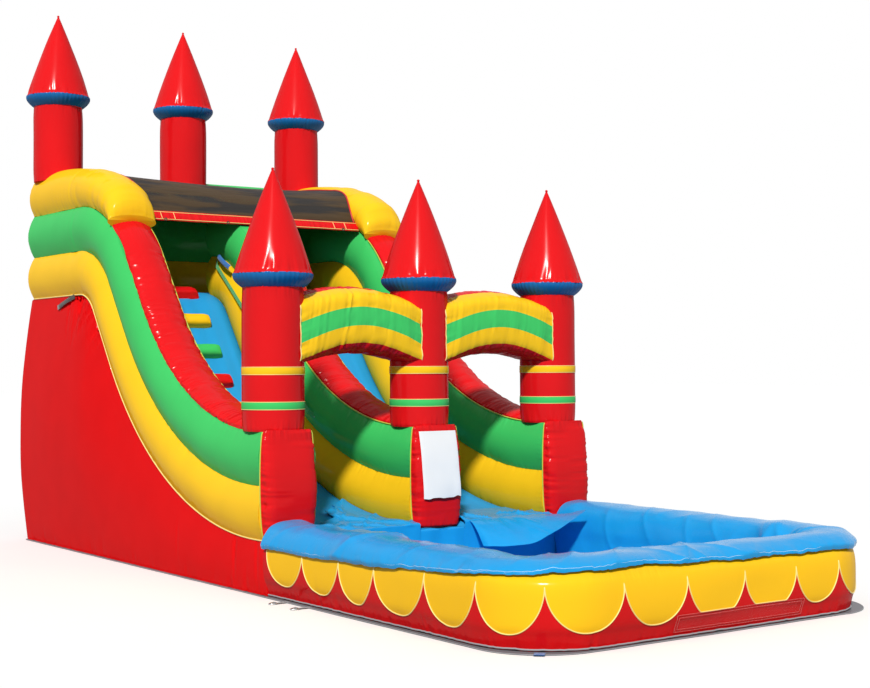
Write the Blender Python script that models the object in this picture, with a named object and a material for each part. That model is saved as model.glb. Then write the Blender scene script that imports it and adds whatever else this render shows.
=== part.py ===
"""A double-lane inflatable water slide with a castle front, as separate inflated panels.

Metres, +Z up, +Y towards the back, +X to the right of someone who faces the pool end. The origin
lies on the ground under the middle front turret. Every wall follows one run line: a level foot,
a hollow curve, a straight slope, a crest and the level of the platform. A height above the run
line is measured square to it, so all seams run parallel to the bed.
"""

import math

import bmesh
import bpy
from mathutils import Matrix, Vector

# Clearances
SEAM = 0.0004
SEAT = 0.0005
OVERRUN = 0.05

# Walls and turrets in plan
WALL_SPACING = 1.45
WALL_THICK = 0.393
WALL_BULGE = 0.070
REAR_WALL_Y = 4.516

# The run line: the seam where the beds meet the side walls
BED_FOOT_Z = 0.42
BASE_FRONT_Y = -0.33
WALL_FRONT_Y = -0.22
HOLLOW_START_Y = -0.055
HOLLOW_RADIUS = 3.50
SLOPE = math.radians(53.6)
SLOPE_LENGTH = 0.637
CREST_RADIUS = 0.411

# Inflated tubes of the walls
TUBE_PITCH = 0.433
CAP_HEIGHT = 0.085
CAP_EDGE = 0.022
DIVIDER_CROWN = 0.012
TOP_TUBE_HEIGHT = 0.46
TOP_TUBE_WIDTH = 0.50
TOP_TUBE_ROUND = 0.28
TOP_TUBE_TAPER = 1.60
TOP_TUBE_SLIM_SHARE = 0.70
TOP_TUBE_BELLY_SHARE = 0.43
TOP_TUBE_START_SHARE = 0.33
TOP_TUBE_BLUNT_SHARE = 0.025
TOP_TUBE_LOW_SHARES = (0.75, 0.45)
TOP_TUBE_TURN_SHARES = (0.28, 0.53, 0.78)
TOP_TUBE_FRONT_SHARES = (0.15, 0.40, 0.75)
CROWN_SHARES = (0.6, 0.0, -0.6)
CAP_SHARES = (-1.0, -0.92, -0.6, 0.0, 0.6, 0.92, 1.0)
REAR_BAND_SHARES = (-1.0, -0.6, -0.2, 0.2, 0.6, 1.0)
BEAM_SHARES = (-1.0, -0.5, 0.0, 0.5, 1.0)
END_ROUND = 0.09
CORNER_FADE = 0.30

# Lower body
GROUND_INSET = 0.03
GROUND_REAR_Y = 4.73
BODY_BULGE_SHARE = 0.045
REAR_BULGE = 0.23
REAR_ROUND = 0.385
REAR_ROUND_SHARE = 0.72
BODY_SIDE_SHARES = (0.0, 0.12, 0.30, 0.50, 0.70, 0.88, 1.0)
REAR_TURN_SHARES = (0.30, 0.55, 0.78, 0.94)

# Beds and steps
BED_THICK = 0.050
BED_EDGE = 0.012
BED_MARGIN = 0.020
BED_SHOULDER = 0.150
BED_SHOULDER_SHARE = 0.65
BED_NOSE = 0.060
BED_NOSE_SHARES = (0.25, 0.60, 1.0)
STEP_COUNT = 9
STEP_PITCH = 0.380
STEP_LENGTH = 0.56
STEP_DEPTH = 0.13
STEP_HEIGHT = 0.085
STEP_TOP_INSET = 0.171
STEP_OFFSET_X = -0.025
STEP_SINK = 0.030
STEP_COLOURS = ("green", "yellow", "red")
STEP_TOP_SHARES = ((0.5, 0.45), (0.4, 0.85), (0.15, 1.0), (-0.2, 1.0), (-0.42, 0.8), (-0.5, 0.4))
STEP_END_SHARES = ((-0.5, 0.55), (-0.46, 0.85), (-0.38, 1.0), (0.38, 1.0), (0.46, 0.85), (0.5, 0.55))
STEP_TUCK_SHARE = 0.20

# Turrets
COLUMN_DIAMETER = 0.50
CONE_DIAMETER = 0.65
CONE_HEIGHT = 0.865
RING_HEIGHT = 0.115
FRONT_EAVE_Z = 2.56
REAR_EAVE_Z = 4.65
REAR_SEAT_Z = 3.745
POST_NOSE = 0.080
POST_TOP_NOSE = 0.012
POST_FOOT_Z = 0.430
POST_BULGE = 0.030
POST_SHARES = (0.0, 0.06, 0.25, 0.50, 0.75, 0.94, 1.0)
POST_END_SHARE = 0.8
POST_CORNER_SHARE = 0.6
POST_BEVEL_SHARE = 0.3
RING_SHARES = (0.0, 0.30, 0.70, 1.0)
CONE_SHARES = (0.04, 0.22, 0.46, 0.70, 0.90, 0.975)
CONE_TAPER_SHARE = 0.94
CONE_SWELL_SHARE = 0.03
TURRET_SIDES = 20
QUARTER_SHARE = 0.25

# Arches
ARCH_FRONT_Y = -0.225
ARCH_REAR_Y = 0.175
ARCH_SPRING_Z = 1.85
ARCH_RISE = 0.125
ARCH_HEIGHT = 0.475
ARCH_TOP_RISE = 0.095
ARCH_LAP = 0.125
ARCH_BULGE = 0.030
ARCH_SPAN_SHARES = (0.0, 0.05, 0.16, 0.30, 0.44, 0.56, 0.70, 0.84, 0.95, 1.0)
# Round the arch's section: share of its depth from the front and of its height, then of its
# bulge backwards and upwards
ARCH_SECTION_SHARES = (
    (1.0, 0.10, 0.0, 0.0),
    (1.0, 0.50, 1.0, 0.0),
    (1.0, 0.97, 0.2, 0.5),
    (0.75, 1.0, 0.0, 2.0),
    (0.25, 1.0, 0.0, 0.9),
    (0.0, 0.92, 0.0, 0.0),
    (0.0, 0.70, -0.6, 0.0),
    (0.0, 0.35, -0.8, 0.0),
    (0.0, 0.06, 0.0, 0.0),
    (0.25, 0.0, 0.0, 0.0),
    (0.75, 0.0, 0.0, 0.0),
)

# Roof net and its band
NET_THICK = 0.004
NET_REAR_SHARE = 0.88
NET_FRONT_GONE = 0.25
NET_LIFT_START = 0.20
NET_LIFT_LENGTH = 0.60
NET_SAG = 0.055
NET_FOLD = 0.012
NET_FOLDS = 4
NET_SKEW_SHARE = 0.6
NET_COLUMNS = 14
NET_ROW_SHARES = (0.0, 0.06, 0.13, 0.22, 0.33, 0.45, 0.58, 0.71, 0.86, 1.0)
NET_TUCK = 0.030
BAND_HEIGHT = 0.085
BAND_THICK = 0.014
BAND_LEAN = 0.060
BAND_BELLY_SHARE = 1.6

# Hand strap on the middle wall
STRAP_WIDTH = 0.045
STRAP_THICK = 0.003
STRAP_STAND_OFF = 0.020
STRAP_TOP_Y = 3.25
STRAP_TOP_Z = 2.90
STRAP_FOOT_Y = 1.30
STRAP_FOOT_Z = 1.33
STRAP_TURN = 0.09
STRAP_RISE_SHARE = 0.35

# Pool
POOL_FRONT_Y = -3.62
POOL_LANE_GAP = 0.0165
POOL_TUBE_WIDTH = 0.46
POOL_TUBE_HEIGHT = 0.555
POOL_TUBE_BELLY_Z = 0.26
POOL_FOOT_WIDTH = 0.36
POOL_INNER_RADIUS = 0.18
POOL_SQUARENESS = 2.8
# Round the pool wall's section, in half turns from its outer side
POOL_TURN_SHARES = (-0.18, -0.06, 0.08, 0.21, 0.34, 0.50, 0.66, 0.79, 0.92, 1.06, 1.18)
POOL_SIDE_STEPS = 6

# Pool liner and splash flap
LINER_THICK = 0.004
LINER_FOLD = 0.016
LINER_SIDE_DROP = 0.135
LINER_FRONT_DROP = 0.070
LINER_HEM_OFF = 0.014
LINER_HEM_WAVE = 0.014
LINER_FLOOR_EDGE = 0.050
LINER_LANE_MARGIN = 0.040
LINER_POST_LAP = 0.040
LINER_CORNERS = (LINER_FLOOR_EDGE + 2 * LINER_FOLD, LINER_FLOOR_EDGE, LINER_FOLD / 2)
LINER_MAT_LENGTH = 1.20
LINER_MAT_START_SHARE = 0.08
LINER_SLIDE_LENGTH = 0.30
LINER_TURN_SHARES = (0.92, 0.79, 0.66, 0.50, 0.34, 0.21)
LINER_LANE_SHARES = (1.0, 0.6, 0.2, -0.2, -0.6, -1.0)
LINER_MAT_SHARES = (0.12, 0.42, 0.72, 1.0)
LINER_WAVES = ((0.6, 2.1, 0.0), (0.4, 0.83, 1.0))
LINER_FOLD_PACE = 1.7
LINER_SIDE_STEPS = 9
LINER_FRONT_STEPS = 11
FLAP_ON_BED = 0.62
FLAP_HANG_LEFT = 0.21
FLAP_HANG_RIGHT = 0.52
FLAP_MARGIN = 0.085
FLAP_DROOP = 0.21
FLAP_CURL_SHARE = 1.4
FLAP_HANG_SHARES = (0.20, 0.45, 0.75, 1.0)
FLAP_FRONT_POWER = 0.4
FLAP_CURL_POWER = 2.2
FLAP_DROOP_POWER = 1.5
FLAP_FOLDS = 9
FLAP_FOLD = 0.012
FLAP_THICK = 0.004
FLAP_COLUMNS = 10

# Ground sheet, anchor loops and rings
SHEET_THICK = 0.004
SHEET_MARGIN = 0.035
SHEET_CORNER = 0.50
RING_ROD = 0.009
RING_WIDTH = 0.056
RING_REACH = 0.050
RING_AXIS_Z = 0.0087
LOOP_WIDTH = 0.040
LOOP_WEB = 0.0025
LOOP_PLAY = 0.0004
LOOP_REACH = 0.125
LOOP_LAP = 0.030
LOOP_TAIL_SHARES = (0.8, 0.2)
LOOP_STEPS = 12
RING_BOW_STEPS = 10
RING_ROD_SIDES = 6
SIDE_RING_YS = (-0.68, -1.00)
REAR_RING_X = 1.25

# Inflation sleeve at the back
SLEEVE_DIAMETER = 0.30
SLEEVE_LENGTH = 0.34
SLEEVE_WALL = 0.006
SLEEVE_X = -0.95
SLEEVE_Z = 0.17
SLEEVE_RUFFLE = 0.012
SLEEVE_RUFFLES = 5
SLEEVE_SIDES = 16
SLEEVE_WAIST_SHARES = (1.0, 0.97, 0.93, 0.98)

# Facets
HOLLOW_STEPS = 9
SLOPE_STEPS = 2
CREST_STEPS = 6
DECK_STEPS = 4
SIDE_SHARES = (0.0, 0.11, 0.34, 0.66, 0.89, 1.0)
ROUND_SHARES = (0.85, 0.50, 0.20, 0.05)

# Where the parts that share a run line begin and end, along it
HALF_WALL = WALL_THICK / 2
HOLLOW_LENGTH = HOLLOW_RADIUS * SLOPE
CREST_LENGTH = CREST_RADIUS * SLOPE
AT_WALL_FRONT = WALL_FRONT_Y - BASE_FRONT_Y
AT_HOLLOW = HOLLOW_START_Y - BASE_FRONT_Y
AT_SLOPE = AT_HOLLOW + HOLLOW_LENGTH
AT_CREST = AT_SLOPE + SLOPE_LENGTH
AT_DECK = AT_CREST + CREST_LENGTH
AT_TOP_TUBE = AT_CREST + CREST_LENGTH * TOP_TUBE_START_SHARE
TOP_SEAM = 2 * TUBE_PITCH
LANE_HALF = (WALL_SPACING - WALL_THICK) / 2
LANE_X = WALL_SPACING / 2
REAR_Y = REAR_WALL_Y + HALF_WALL
HALF_TUBE = TOP_TUBE_WIDTH / 2
SEAM_STRETCH = (CREST_RADIUS + TOP_SEAM) / CREST_RADIUS
NEAR = SEAM / 10
POOL_INNER_X = LANE_X + LANE_HALF + POOL_LANE_GAP
POOL_INNER_Y = POOL_FRONT_Y + POOL_TUBE_WIDTH
GROUND_HALF_WIDTH = POOL_INNER_X + POOL_TUBE_WIDTH - GROUND_INSET
AT_NET_FRONT = AT_TOP_TUBE + NET_FRONT_GONE / SEAM_STRETCH

COLOURS = {
    "red": "#D8141A",
    "yellow": "#F7CC24",
    "green": "#46C864",
    "blue": "#2A98D8",
    "deep_blue": "#1B63A0",
    "mesh": "#3A2A20",
    "grey": "#6E7075",
    "steel": "#B9BCC0",
}


def linear(channel):
    """Turn one sRGB channel from 0 to 1 into a linear one."""
    return channel / 12.92 if channel <= 0.04045 else ((channel + 0.055) / 1.055) ** 2.4


def material(colour, roughness=0.28, metallic=0.0):
    """Return the named colour's material, made once."""
    made = bpy.data.materials.get(colour)
    if made:
        return made
    made = bpy.data.materials.new(colour)
    made.use_nodes = True
    code = COLOURS[colour].lstrip("#")
    rgb = [linear(int(code[i : i + 2], 16) / 255) for i in (0, 2, 4)]
    made.diffuse_color = (*rgb, 1)
    shader = made.node_tree.nodes["Principled BSDF"]
    shader.inputs["Base Color"].default_value = (*rgb, 1)
    shader.inputs["Roughness"].default_value = roughness
    shader.inputs["Metallic"].default_value = metallic
    return made


def add(name, mesh_source, colour, at=(0, 0, 0), crease=math.radians(50)):
    """Link a bmesh as one named object, faces outward and smooth up to the crease angle."""
    bmesh.ops.recalc_face_normals(mesh_source, faces=mesh_source.faces)
    if mesh_source.calc_volume(signed=True) < 0:
        bmesh.ops.reverse_faces(mesh_source, faces=mesh_source.faces)
    mesh = bpy.data.meshes.new(name)
    mesh_source.to_mesh(mesh)
    mesh_source.free()
    mesh.shade_smooth()
    mesh.set_sharp_from_angle(angle=crease)
    made = bpy.data.objects.new(name, mesh)
    made.location = at
    mesh.materials.append(material(colour))
    bpy.context.scene.collection.objects.link(made)
    return made


def loft(rings, closed=False, capped=True):
    """Skin a list of rings of 3-D points; closed joins the last ring to the first.

    Each side is two triangles, so that a cutting shape has the same facets as what it fits.
    """
    shape = bmesh.new()
    rows = [[shape.verts.new(point) for point in ring] for ring in rings]
    count = len(rows[0])
    pairs = list(zip(rows, rows[1:]))
    if closed:
        pairs.append((rows[-1], rows[0]))
    for low, high in pairs:
        for i in range(count):
            j = (i + 1) % count
            shape.faces.new((low[i], low[j], high[j]))
            shape.faces.new((low[i], high[j], high[i]))
    if capped and not closed:
        shape.faces.new(rows[0])
        shape.faces.new(rows[-1])
    return shape


def turned(profile, sides=TURRET_SIDES):
    """Revolve (radius, z) points about Z; the profile starts and ends on the axis."""
    shape = bmesh.new()
    foot = shape.verts.new((0, 0, profile[0][1]))
    tip = shape.verts.new((0, 0, profile[-1][1]))
    angles = [2 * math.pi * (i + QUARTER_SHARE) / sides for i in range(sides)]
    rows = [
        [shape.verts.new((r * math.cos(a), r * math.sin(a), z)) for a in angles]
        for r, z in profile[1:-1]
    ]
    for i in range(sides):
        j = (i + 1) % sides
        shape.faces.new((foot, rows[0][j], rows[0][i]))
        shape.faces.new((tip, rows[-1][i], rows[-1][j]))
        for low, high in zip(rows, rows[1:]):
            shape.faces.new((low[i], low[j], high[j], high[i]))
    return shape


def smooth_step(share):
    """Ease from 0 to 1."""
    share = min(max(share, 0.0), 1.0)
    return share * share * (3 - 2 * share)


def hide(cutter):
    """Keep a cutting shape out of the model."""
    cutter.hide_render = True
    cutter.display_type = "WIRE"
    return cutter


def cut(target, cutter, operation="DIFFERENCE"):
    """Cut the target by the cutter, or join the cutter to it."""
    change = target.modifiers.new(cutter.name, "BOOLEAN")
    change.object = cutter
    change.operation = operation
    change.solver = "EXACT"


def fitted(target, cutters):
    """Cut an object with each of the cutters, and return it."""
    for cutter in cutters:
        cut(target, cutter)
    return target


def run_corners():
    """List the run line's corners as (distance, y, z, normal y, normal z)."""
    corners = [(0.0, BASE_FRONT_Y, BED_FOOT_Z, 0.0, 1.0)]
    centre_z = BED_FOOT_Z + HOLLOW_RADIUS
    for i in range(HOLLOW_STEPS + 1):
        turn = SLOPE * i / HOLLOW_STEPS
        y = HOLLOW_START_Y + HOLLOW_RADIUS * math.sin(turn)
        z = centre_z - HOLLOW_RADIUS * math.cos(turn)
        corners.append((AT_HOLLOW + HOLLOW_RADIUS * turn, y, z, -math.sin(turn), math.cos(turn)))
    _, y0, z0, ny, nz = corners[-1]
    for i in range(1, SLOPE_STEPS + 1):
        far = SLOPE_LENGTH * i / SLOPE_STEPS
        corners.append((AT_SLOPE + far, y0 + nz * far, z0 - ny * far, ny, nz))
    _, y1, z1, ny, nz = corners[-1]
    centre = (y1 - ny * CREST_RADIUS, z1 - nz * CREST_RADIUS)
    for i in range(1, CREST_STEPS + 1):
        turn = SLOPE * (1 - i / CREST_STEPS)
        y = centre[0] - CREST_RADIUS * math.sin(turn)
        z = centre[1] + CREST_RADIUS * math.cos(turn)
        at = AT_CREST + CREST_RADIUS * (SLOPE - turn)
        corners.append((at, y, z, -math.sin(turn), math.cos(turn)))
    _, y2, z2, _, _ = corners[-1]
    for i in range(1, DECK_STEPS + 1):
        far = (REAR_Y - y2) * i / DECK_STEPS
        corners.append((AT_DECK + far, y2 + far, z2, 0.0, 1.0))
    return corners


RUN = run_corners()
AT_REAR = RUN[-1][0]
DECK_Z = RUN[-1][2]
TOP_Z = DECK_Z + TOP_SEAM


def run_at(distance):
    """Return (y, z, normal y, normal z) at a distance along the faceted run line."""
    for low, high in zip(RUN, RUN[1:]):
        if distance <= high[0] or high is RUN[-1]:
            share = (distance - low[0]) / (high[0] - low[0])
            return tuple(a + (b - a) * share for a, b in zip(low[1:], high[1:]))
    return RUN[-1][1:]


def place(distance, height, x):
    """Return the 3-D point at a distance along the run line and a height square to it."""
    y, z, ny, nz = run_at(distance)
    return (x, y + ny * height, z + nz * height)


def distance_at(y):
    """Return the distance along the run line's level parts where it is at this y."""
    return y - BASE_FRONT_Y if y < HOLLOW_START_Y else AT_REAR - (REAR_Y - y)


def height_over(y, z):
    """Return how high a point lies over the faceted run line, measured as place() does."""
    for low, high in zip(RUN, RUN[1:]):
        near, far = 0.0, 1.0
        while far - near > NEAR:
            share = (near + far) / 2
            run_y, run_z, ny, nz = (a + (b - a) * share for a, b in zip(low[1:], high[1:]))
            ahead = (y - run_y) * nz - (z - run_z) * ny > 0
            near, far = (share, far) if ahead else (near, share)
        if NEAR < near < 1 - NEAR:
            return ((y - run_y) * ny + (z - run_z) * nz) / (ny**2 + nz**2)
    return 0.0


def stations(start, end, extra=()):
    """List the run line's corners between two distances, with the ends and any extra ones."""
    kept = [start]
    for at in sorted([corner[0] for corner in RUN] + list(extra)):
        if kept[-1] + NEAR < at < end - NEAR:
            kept.append(at)
    return kept + [end]


def arc_share(share):
    """Return how far a pillow bulges at a share of its height, from 0 at the seams to 1."""
    return 1 - (2 * share - 1) ** 2


def end_shrink(distance, start, end, rounding):
    """Return how much a tube draws in near its rounded ends."""
    gaps = [gap for gap, is_round in zip((distance - start, end - distance), rounding) if is_round]
    near = max(min(gaps, default=END_ROUND), 0.0)
    if near >= END_ROUND:
        return 0.0
    return END_ROUND * (1 - math.sqrt(max(0.0, 1 - (1 - near / END_ROUND) ** 2)))


def wall_band(name, colour, x, low, high, start, end, outer=0, rounded=(False, True), crown=0.0):
    """Build one inflated band of a wall between two seams that run parallel to the bed.

    outer is the wall's outer side, -1 or +1, or 0 where both sides face a lane. The lane side
    lies flat near the back wall, which is sewn to it there.
    """
    rounds = [end - END_ROUND * share for share in ROUND_SHARES] if rounded[1] else []
    rings = []
    for at in stations(start, end, rounds + ([AT_TOP_TUBE, AT_TOP_TUBE + SEAT] if crown else [])):
        y = run_at(at)[0]
        shrink = end_shrink(at, start, end, rounded)
        fade = 1 - smooth_step((y - (REAR_WALL_Y - HALF_WALL - 2 * CORNER_FADE)) / CORNER_FADE)
        sides = {side: 1.0 if side == outer else fade for side in (-1, 1)}
        right, left = [], []
        for share in SIDE_SHARES:
            height = low + SEAM / 2 + (high - low - SEAM) * share
            for side, line in ((1, right), (-1, left)):
                half = HALF_WALL + WALL_BULGE * sides[side] * arc_share(share) - shrink
                line.append(place(at, height, x + side * half))
        top = []
        for share in CROWN_SHARES:
            lift = crown * smooth_step((at - AT_TOP_TUBE) / SEAT) * (1 - share**2)
            top.append(place(at, high - SEAM / 2 + lift, x + share * (HALF_WALL - shrink)))
        rings.append(right + top + left[::-1])
    return add(name, loft(rings), colour)


def wall_cap(name, x, cutter):
    """Build the flat red pillow along a wall's sloping top, fitted round the front column."""
    start, end = AT_HOLLOW + OVERRUN, AT_TOP_TUBE - SEAM
    rings = []
    for at in stations(start, end):
        ring = [place(at, TOP_SEAM + SEAM / 2, x + half) for half in (HALF_WALL, -HALF_WALL)]
        for share in CAP_SHARES:
            height = TOP_SEAM + CAP_EDGE + (CAP_HEIGHT - CAP_EDGE) * (1 - share**2)
            ring.append(place(at, height, x + HALF_WALL * share))
        rings.append(ring)
    made = add(name, loft(rings), "red")
    cut(made, cutter)
    return made


def seam_gone(distance):
    """Return how far along its own seam a top tube has come, at a distance along the run line."""
    return (min(distance, AT_DECK) - AT_TOP_TUBE) * SEAM_STRETCH + max(distance - AT_DECK, 0.0)


def top_tube_height(distance):
    """Return the height of a side wall's top tube, which is slimmer and rounded at its front."""
    gone = seam_gone(distance + TOP_TUBE_ROUND * TOP_TUBE_BLUNT_SHARE)
    slim = TOP_TUBE_SLIM_SHARE + (1 - TOP_TUBE_SLIM_SHARE) * smooth_step(gone / TOP_TUBE_TAPER)
    nose = math.sqrt(max(0.0, 1 - (1 - min(gone / TOP_TUBE_ROUND, 1.0)) ** 2))
    return TOP_TUBE_HEIGHT * slim * nose


def tube_profile(height, grow=0.0):
    """List (sideways, up) points of a round tube that sits on a flat seam, right side first."""
    belly = TOP_TUBE_BELLY_SHARE * height
    half = HALF_TUBE + grow
    out_share, up_share = TOP_TUBE_LOW_SHARES
    low_half = HALF_WALL + (half - HALF_WALL) * out_share
    side = [(HALF_WALL + grow, -grow), (low_half, belly * up_share), (half, belly)]
    for share in TOP_TUBE_TURN_SHARES:
        turn = math.pi / 2 * share
        side.append((half * math.cos(turn), belly + (height + grow - belly) * math.sin(turn)))
    return side + [(0.0, height + grow)] + [(-a, b) for a, b in side[::-1]]


def top_tube_stations():
    """List the distances at which a top tube has a cross section."""
    start = AT_TOP_TUBE + SEAM
    extra = [start + TOP_TUBE_ROUND / SEAM_STRETCH * share for share in TOP_TUBE_FRONT_SHARES]
    extra += [AT_REAR - END_ROUND * share for share in ROUND_SHARES]
    return stations(start, AT_REAR, extra)


def top_tube(name, x, grow=0.0):
    """Build the yellow tube along the level top of a side wall, down over the crest."""
    start = AT_TOP_TUBE + SEAM
    rings = []
    for at in top_tube_stations():
        height = top_tube_height(at)
        shrink = end_shrink(at, start, AT_REAR, (False, True))
        base = TOP_SEAM + SEAM / 2
        cut_at = at + grow * ((at > AT_REAR - NEAR) - (at < start + NEAR))
        ring = []
        for sideways, up in tube_profile(height, grow):
            ring.append(place(cut_at, base + up, x + sideways * (1 - shrink / HALF_TUBE)))
        rings.append(ring)
    return add(name, loft(rings), "yellow")


def rear_band(name, colour, low, high):
    """Build one band of the back wall, between the two side walls."""
    rings = []
    half_width = WALL_SPACING - HALF_WALL - SEAM
    for share_x in REAR_BAND_SHARES:
        front, back = [], []
        for share in SIDE_SHARES:
            z = DECK_Z + low + SEAM / 2 + (high - low - SEAM) * share
            reach = HALF_WALL + WALL_BULGE * arc_share(share)
            front.append((share_x * half_width, REAR_WALL_Y - reach, z))
            back.append((share_x * half_width, REAR_WALL_Y + reach, z))
        rings.append(back + front[::-1])
    return add(name, loft(rings), colour)


def rear_beam(name, grow=0.0):
    """Build the round tube on top of the back wall, between the side tubes."""
    half_width = WALL_SPACING - HALF_TUBE - SEAM
    base = TOP_Z + SEAM / 2
    section = tube_profile(TOP_TUBE_HEIGHT, grow)
    rings = [
        [(share * half_width, REAR_WALL_Y + a, base + b) for a, b in section]
        for share in BEAM_SHARES
    ]
    return add(name, loft(rings), "green")


def body_side(share, top_z, half_top):
    """Return the half width of the lower body at a share of its height there."""
    straight = GROUND_HALF_WIDTH + (half_top - GROUND_HALF_WIDTH) * share
    return straight + BODY_BULGE_SHARE * top_z * math.sin(math.pi * share)


def slide_body(name, grow=0.0):
    """Build the big inflated body under both lanes, with its bulging sides and back."""
    half_top = WALL_SPACING + HALF_WALL
    foot = SHEET_THICK + SEAM
    rings = []
    for at in stations(0.0, AT_REAR):
        y, z, _, _ = run_at(at)
        top = z - SEAM / 2
        heights = [(s, foot + (top - foot) * s) for s in BODY_SIDE_SHARES]
        right = [(body_side(s, top, half_top), y, height) for s, height in heights]
        rings.append(right + [(-a, b, c) for a, b, c in right[::-1]])
    top = DECK_Z - SEAM / 2
    for turn_share in REAR_TURN_SHARES:
        turn = math.pi / 2 * turn_share
        curve = 1 - math.cos(turn)
        low = foot + (top - foot) / 2 * REAR_ROUND_SHARE * curve - grow
        high = top - (top - foot) / 2 * REAR_ROUND_SHARE * curve + grow
        right = []
        for s in BODY_SIDE_SHARES:
            z = low + (high - low) * s
            half = body_side((z - foot) / (top - foot), top, half_top) - REAR_ROUND * curve + grow
            right.append((half, REAR_Y + REAR_BULGE * math.sin(turn) + grow, z))
        rings.append(right + [(-a, b, c) for a, b, c in right[::-1]])
    return add(name, loft(rings), "red")


def bed_section(at, x_low, x_high, shoulder, nose):
    """List one cross section of a padded bed between two sides."""
    thick = BED_THICK if nose is None else BED_EDGE + (BED_THICK - BED_EDGE) * smooth_step(nose)
    low, high = x_low + BED_MARGIN, x_high - BED_MARGIN
    round_up = BED_EDGE + (thick - BED_EDGE) * BED_SHOULDER_SHARE
    top = [(low, BED_EDGE), (low + shoulder / 3, round_up), (low + shoulder, thick)]
    top += [(high - shoulder, thick), (high - shoulder / 3, round_up), (high, BED_EDGE)]
    ring = [(low, SEAM / 2), (high, SEAM / 2)] + top[::-1]
    return [place(at, height, x) for x, height in ring]


def bed(name, side, deck):
    """Build a lane's blue bed; with deck it runs on as the platform's floor across both lanes."""
    x_low, x_high = side * LANE_X - LANE_HALF, side * LANE_X + LANE_HALF
    end = AT_DECK - SEAM if deck else AT_DECK
    extra = [BED_NOSE * share for share in BED_NOSE_SHARES]
    rings = []
    for at in stations(SEAM, end, extra):
        rings.append(bed_section(at, x_low, x_high, BED_SHOULDER, at / BED_NOSE))
    if deck:
        wide = WALL_SPACING - HALF_WALL
        deck_end = distance_at(REAR_WALL_Y - HALF_WALL - WALL_BULGE / 2)
        for at in stations(AT_DECK + BED_MARGIN, deck_end):
            rings.append(bed_section(at, -wide, wide, BED_SHOULDER, None))
    return add(name, loft(rings), "blue")


def climb_step(number, colour, cutter):
    """Build one foam-filled step sewn across the climbing bed; step 1 is the lowest."""
    at = AT_DECK - STEP_TOP_INSET - (STEP_COUNT - number) * STEP_PITCH
    y, z, ny, nz = run_at(at)
    middle = Vector((-LANE_X + STEP_OFFSET_X, y + ny * BED_THICK, z + nz * BED_THICK))
    along = Vector((0, nz, -ny)).normalized()
    up = Vector((0, ny, nz)).normalized()
    rings = []
    for share, squash in STEP_END_SHARES:
        depth = STEP_DEPTH * (1 - STEP_TUCK_SHARE * (1 - squash))
        centre = middle + Vector((share * STEP_LENGTH, 0, 0))
        ring = [centre + along * (depth * half) - up * STEP_SINK for half in (-0.5, 0.5)]
        for ahead, height in STEP_TOP_SHARES:
            ring.append(centre + along * (depth * ahead) + up * (STEP_HEIGHT * height * squash))
        rings.append(ring)
    step = add(f"climb_step_{number}", loft(rings), colour)
    cut(step, cutter)
    return step


def bed_cutter():
    """Make the cutting shape that seats the steps on the climbing bed."""
    x_low, x_high = -LANE_X - LANE_HALF, -LANE_X + LANE_HALF
    seat = BED_THICK + SEAT
    rings = []
    for at in stations(OVERRUN, AT_DECK + OVERRUN):
        ring = []
        for x, height in ((x_low, -OVERRUN), (x_high, -OVERRUN), (x_high, seat), (x_low, seat)):
            ring.append(place(at, height, x))
        rings.append(ring)
    return hide(add("bed_cutter", loft(rings), "blue"))


def column(name, x, y, foot_z, eave_z):
    """Build a turret's round column, from its foot to the underside of the ring."""
    radius = COLUMN_DIAMETER / 2
    neck = eave_z - RING_HEIGHT - SEAM
    profile = ((0, foot_z), (radius, foot_z), (radius, (foot_z + neck) / 2), (radius, neck), (0, neck))
    return add(name, turned(profile), "red", (x, y, 0))


def turret_ring(name, x, y, eave_z):
    """Build the blue ring that widens from the column to the eave of the cone."""
    low, high = COLUMN_DIAMETER / 2, CONE_DIAMETER / 2
    base = eave_z - RING_HEIGHT
    profile = [(0, base)]
    for share in RING_SHARES:
        swell = math.sin(math.pi / 2 * share)
        profile.append((low + (high - low) * swell, base + RING_HEIGHT * share * (1 - SEAM)))
    profile.append((0, profile[-1][1]))
    return add(name, turned(profile), "deep_blue", (x, y, 0))


def turret_cone(name, x, y, eave_z):
    """Build the red cone, with sides that swell a little, on top of the ring."""
    half = CONE_DIAMETER / 2
    profile = [(0, eave_z + SEAM), (half, eave_z + SEAM)]
    for share in CONE_SHARES:
        swell = 1 + CONE_SWELL_SHARE * math.sin(math.pi * share)
        profile.append((half * (1 - share) ** CONE_TAPER_SHARE * swell, eave_z + CONE_HEIGHT * share))
    profile.append((0, eave_z + CONE_HEIGHT))
    return add(name, turned(profile), "red", (x, y, 0))


def front_post(x):
    """Build the red end panel that closes a wall's front, to be joined to its column."""
    rings = []
    top_z = BED_FOOT_Z + TOP_SEAM + OVERRUN
    back = WALL_FRONT_Y - SEAM
    for share in POST_SHARES:
        z = POST_FOOT_Z + (top_z - POST_FOOT_Z) * share
        nose = POST_NOSE + (POST_TOP_NOSE - POST_NOSE) * share + POST_BULGE * arc_share(share)
        nose = nose if 0 < share < 1 else nose * POST_END_SHARE
        half = HALF_WALL + POST_BULGE * arc_share(share)
        corner = nose * POST_CORNER_SHARE
        bevel = corner * POST_BEVEL_SHARE
        side = [(half, 0.0), (half, corner - nose), (half - bevel, bevel - nose), (half - corner, -nose)]
        outline = side + [(-across, ahead) for across, ahead in side[::-1]]
        rings.append([(x + across, back + ahead, z) for across, ahead in outline])
    return loft(rings)


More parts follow.
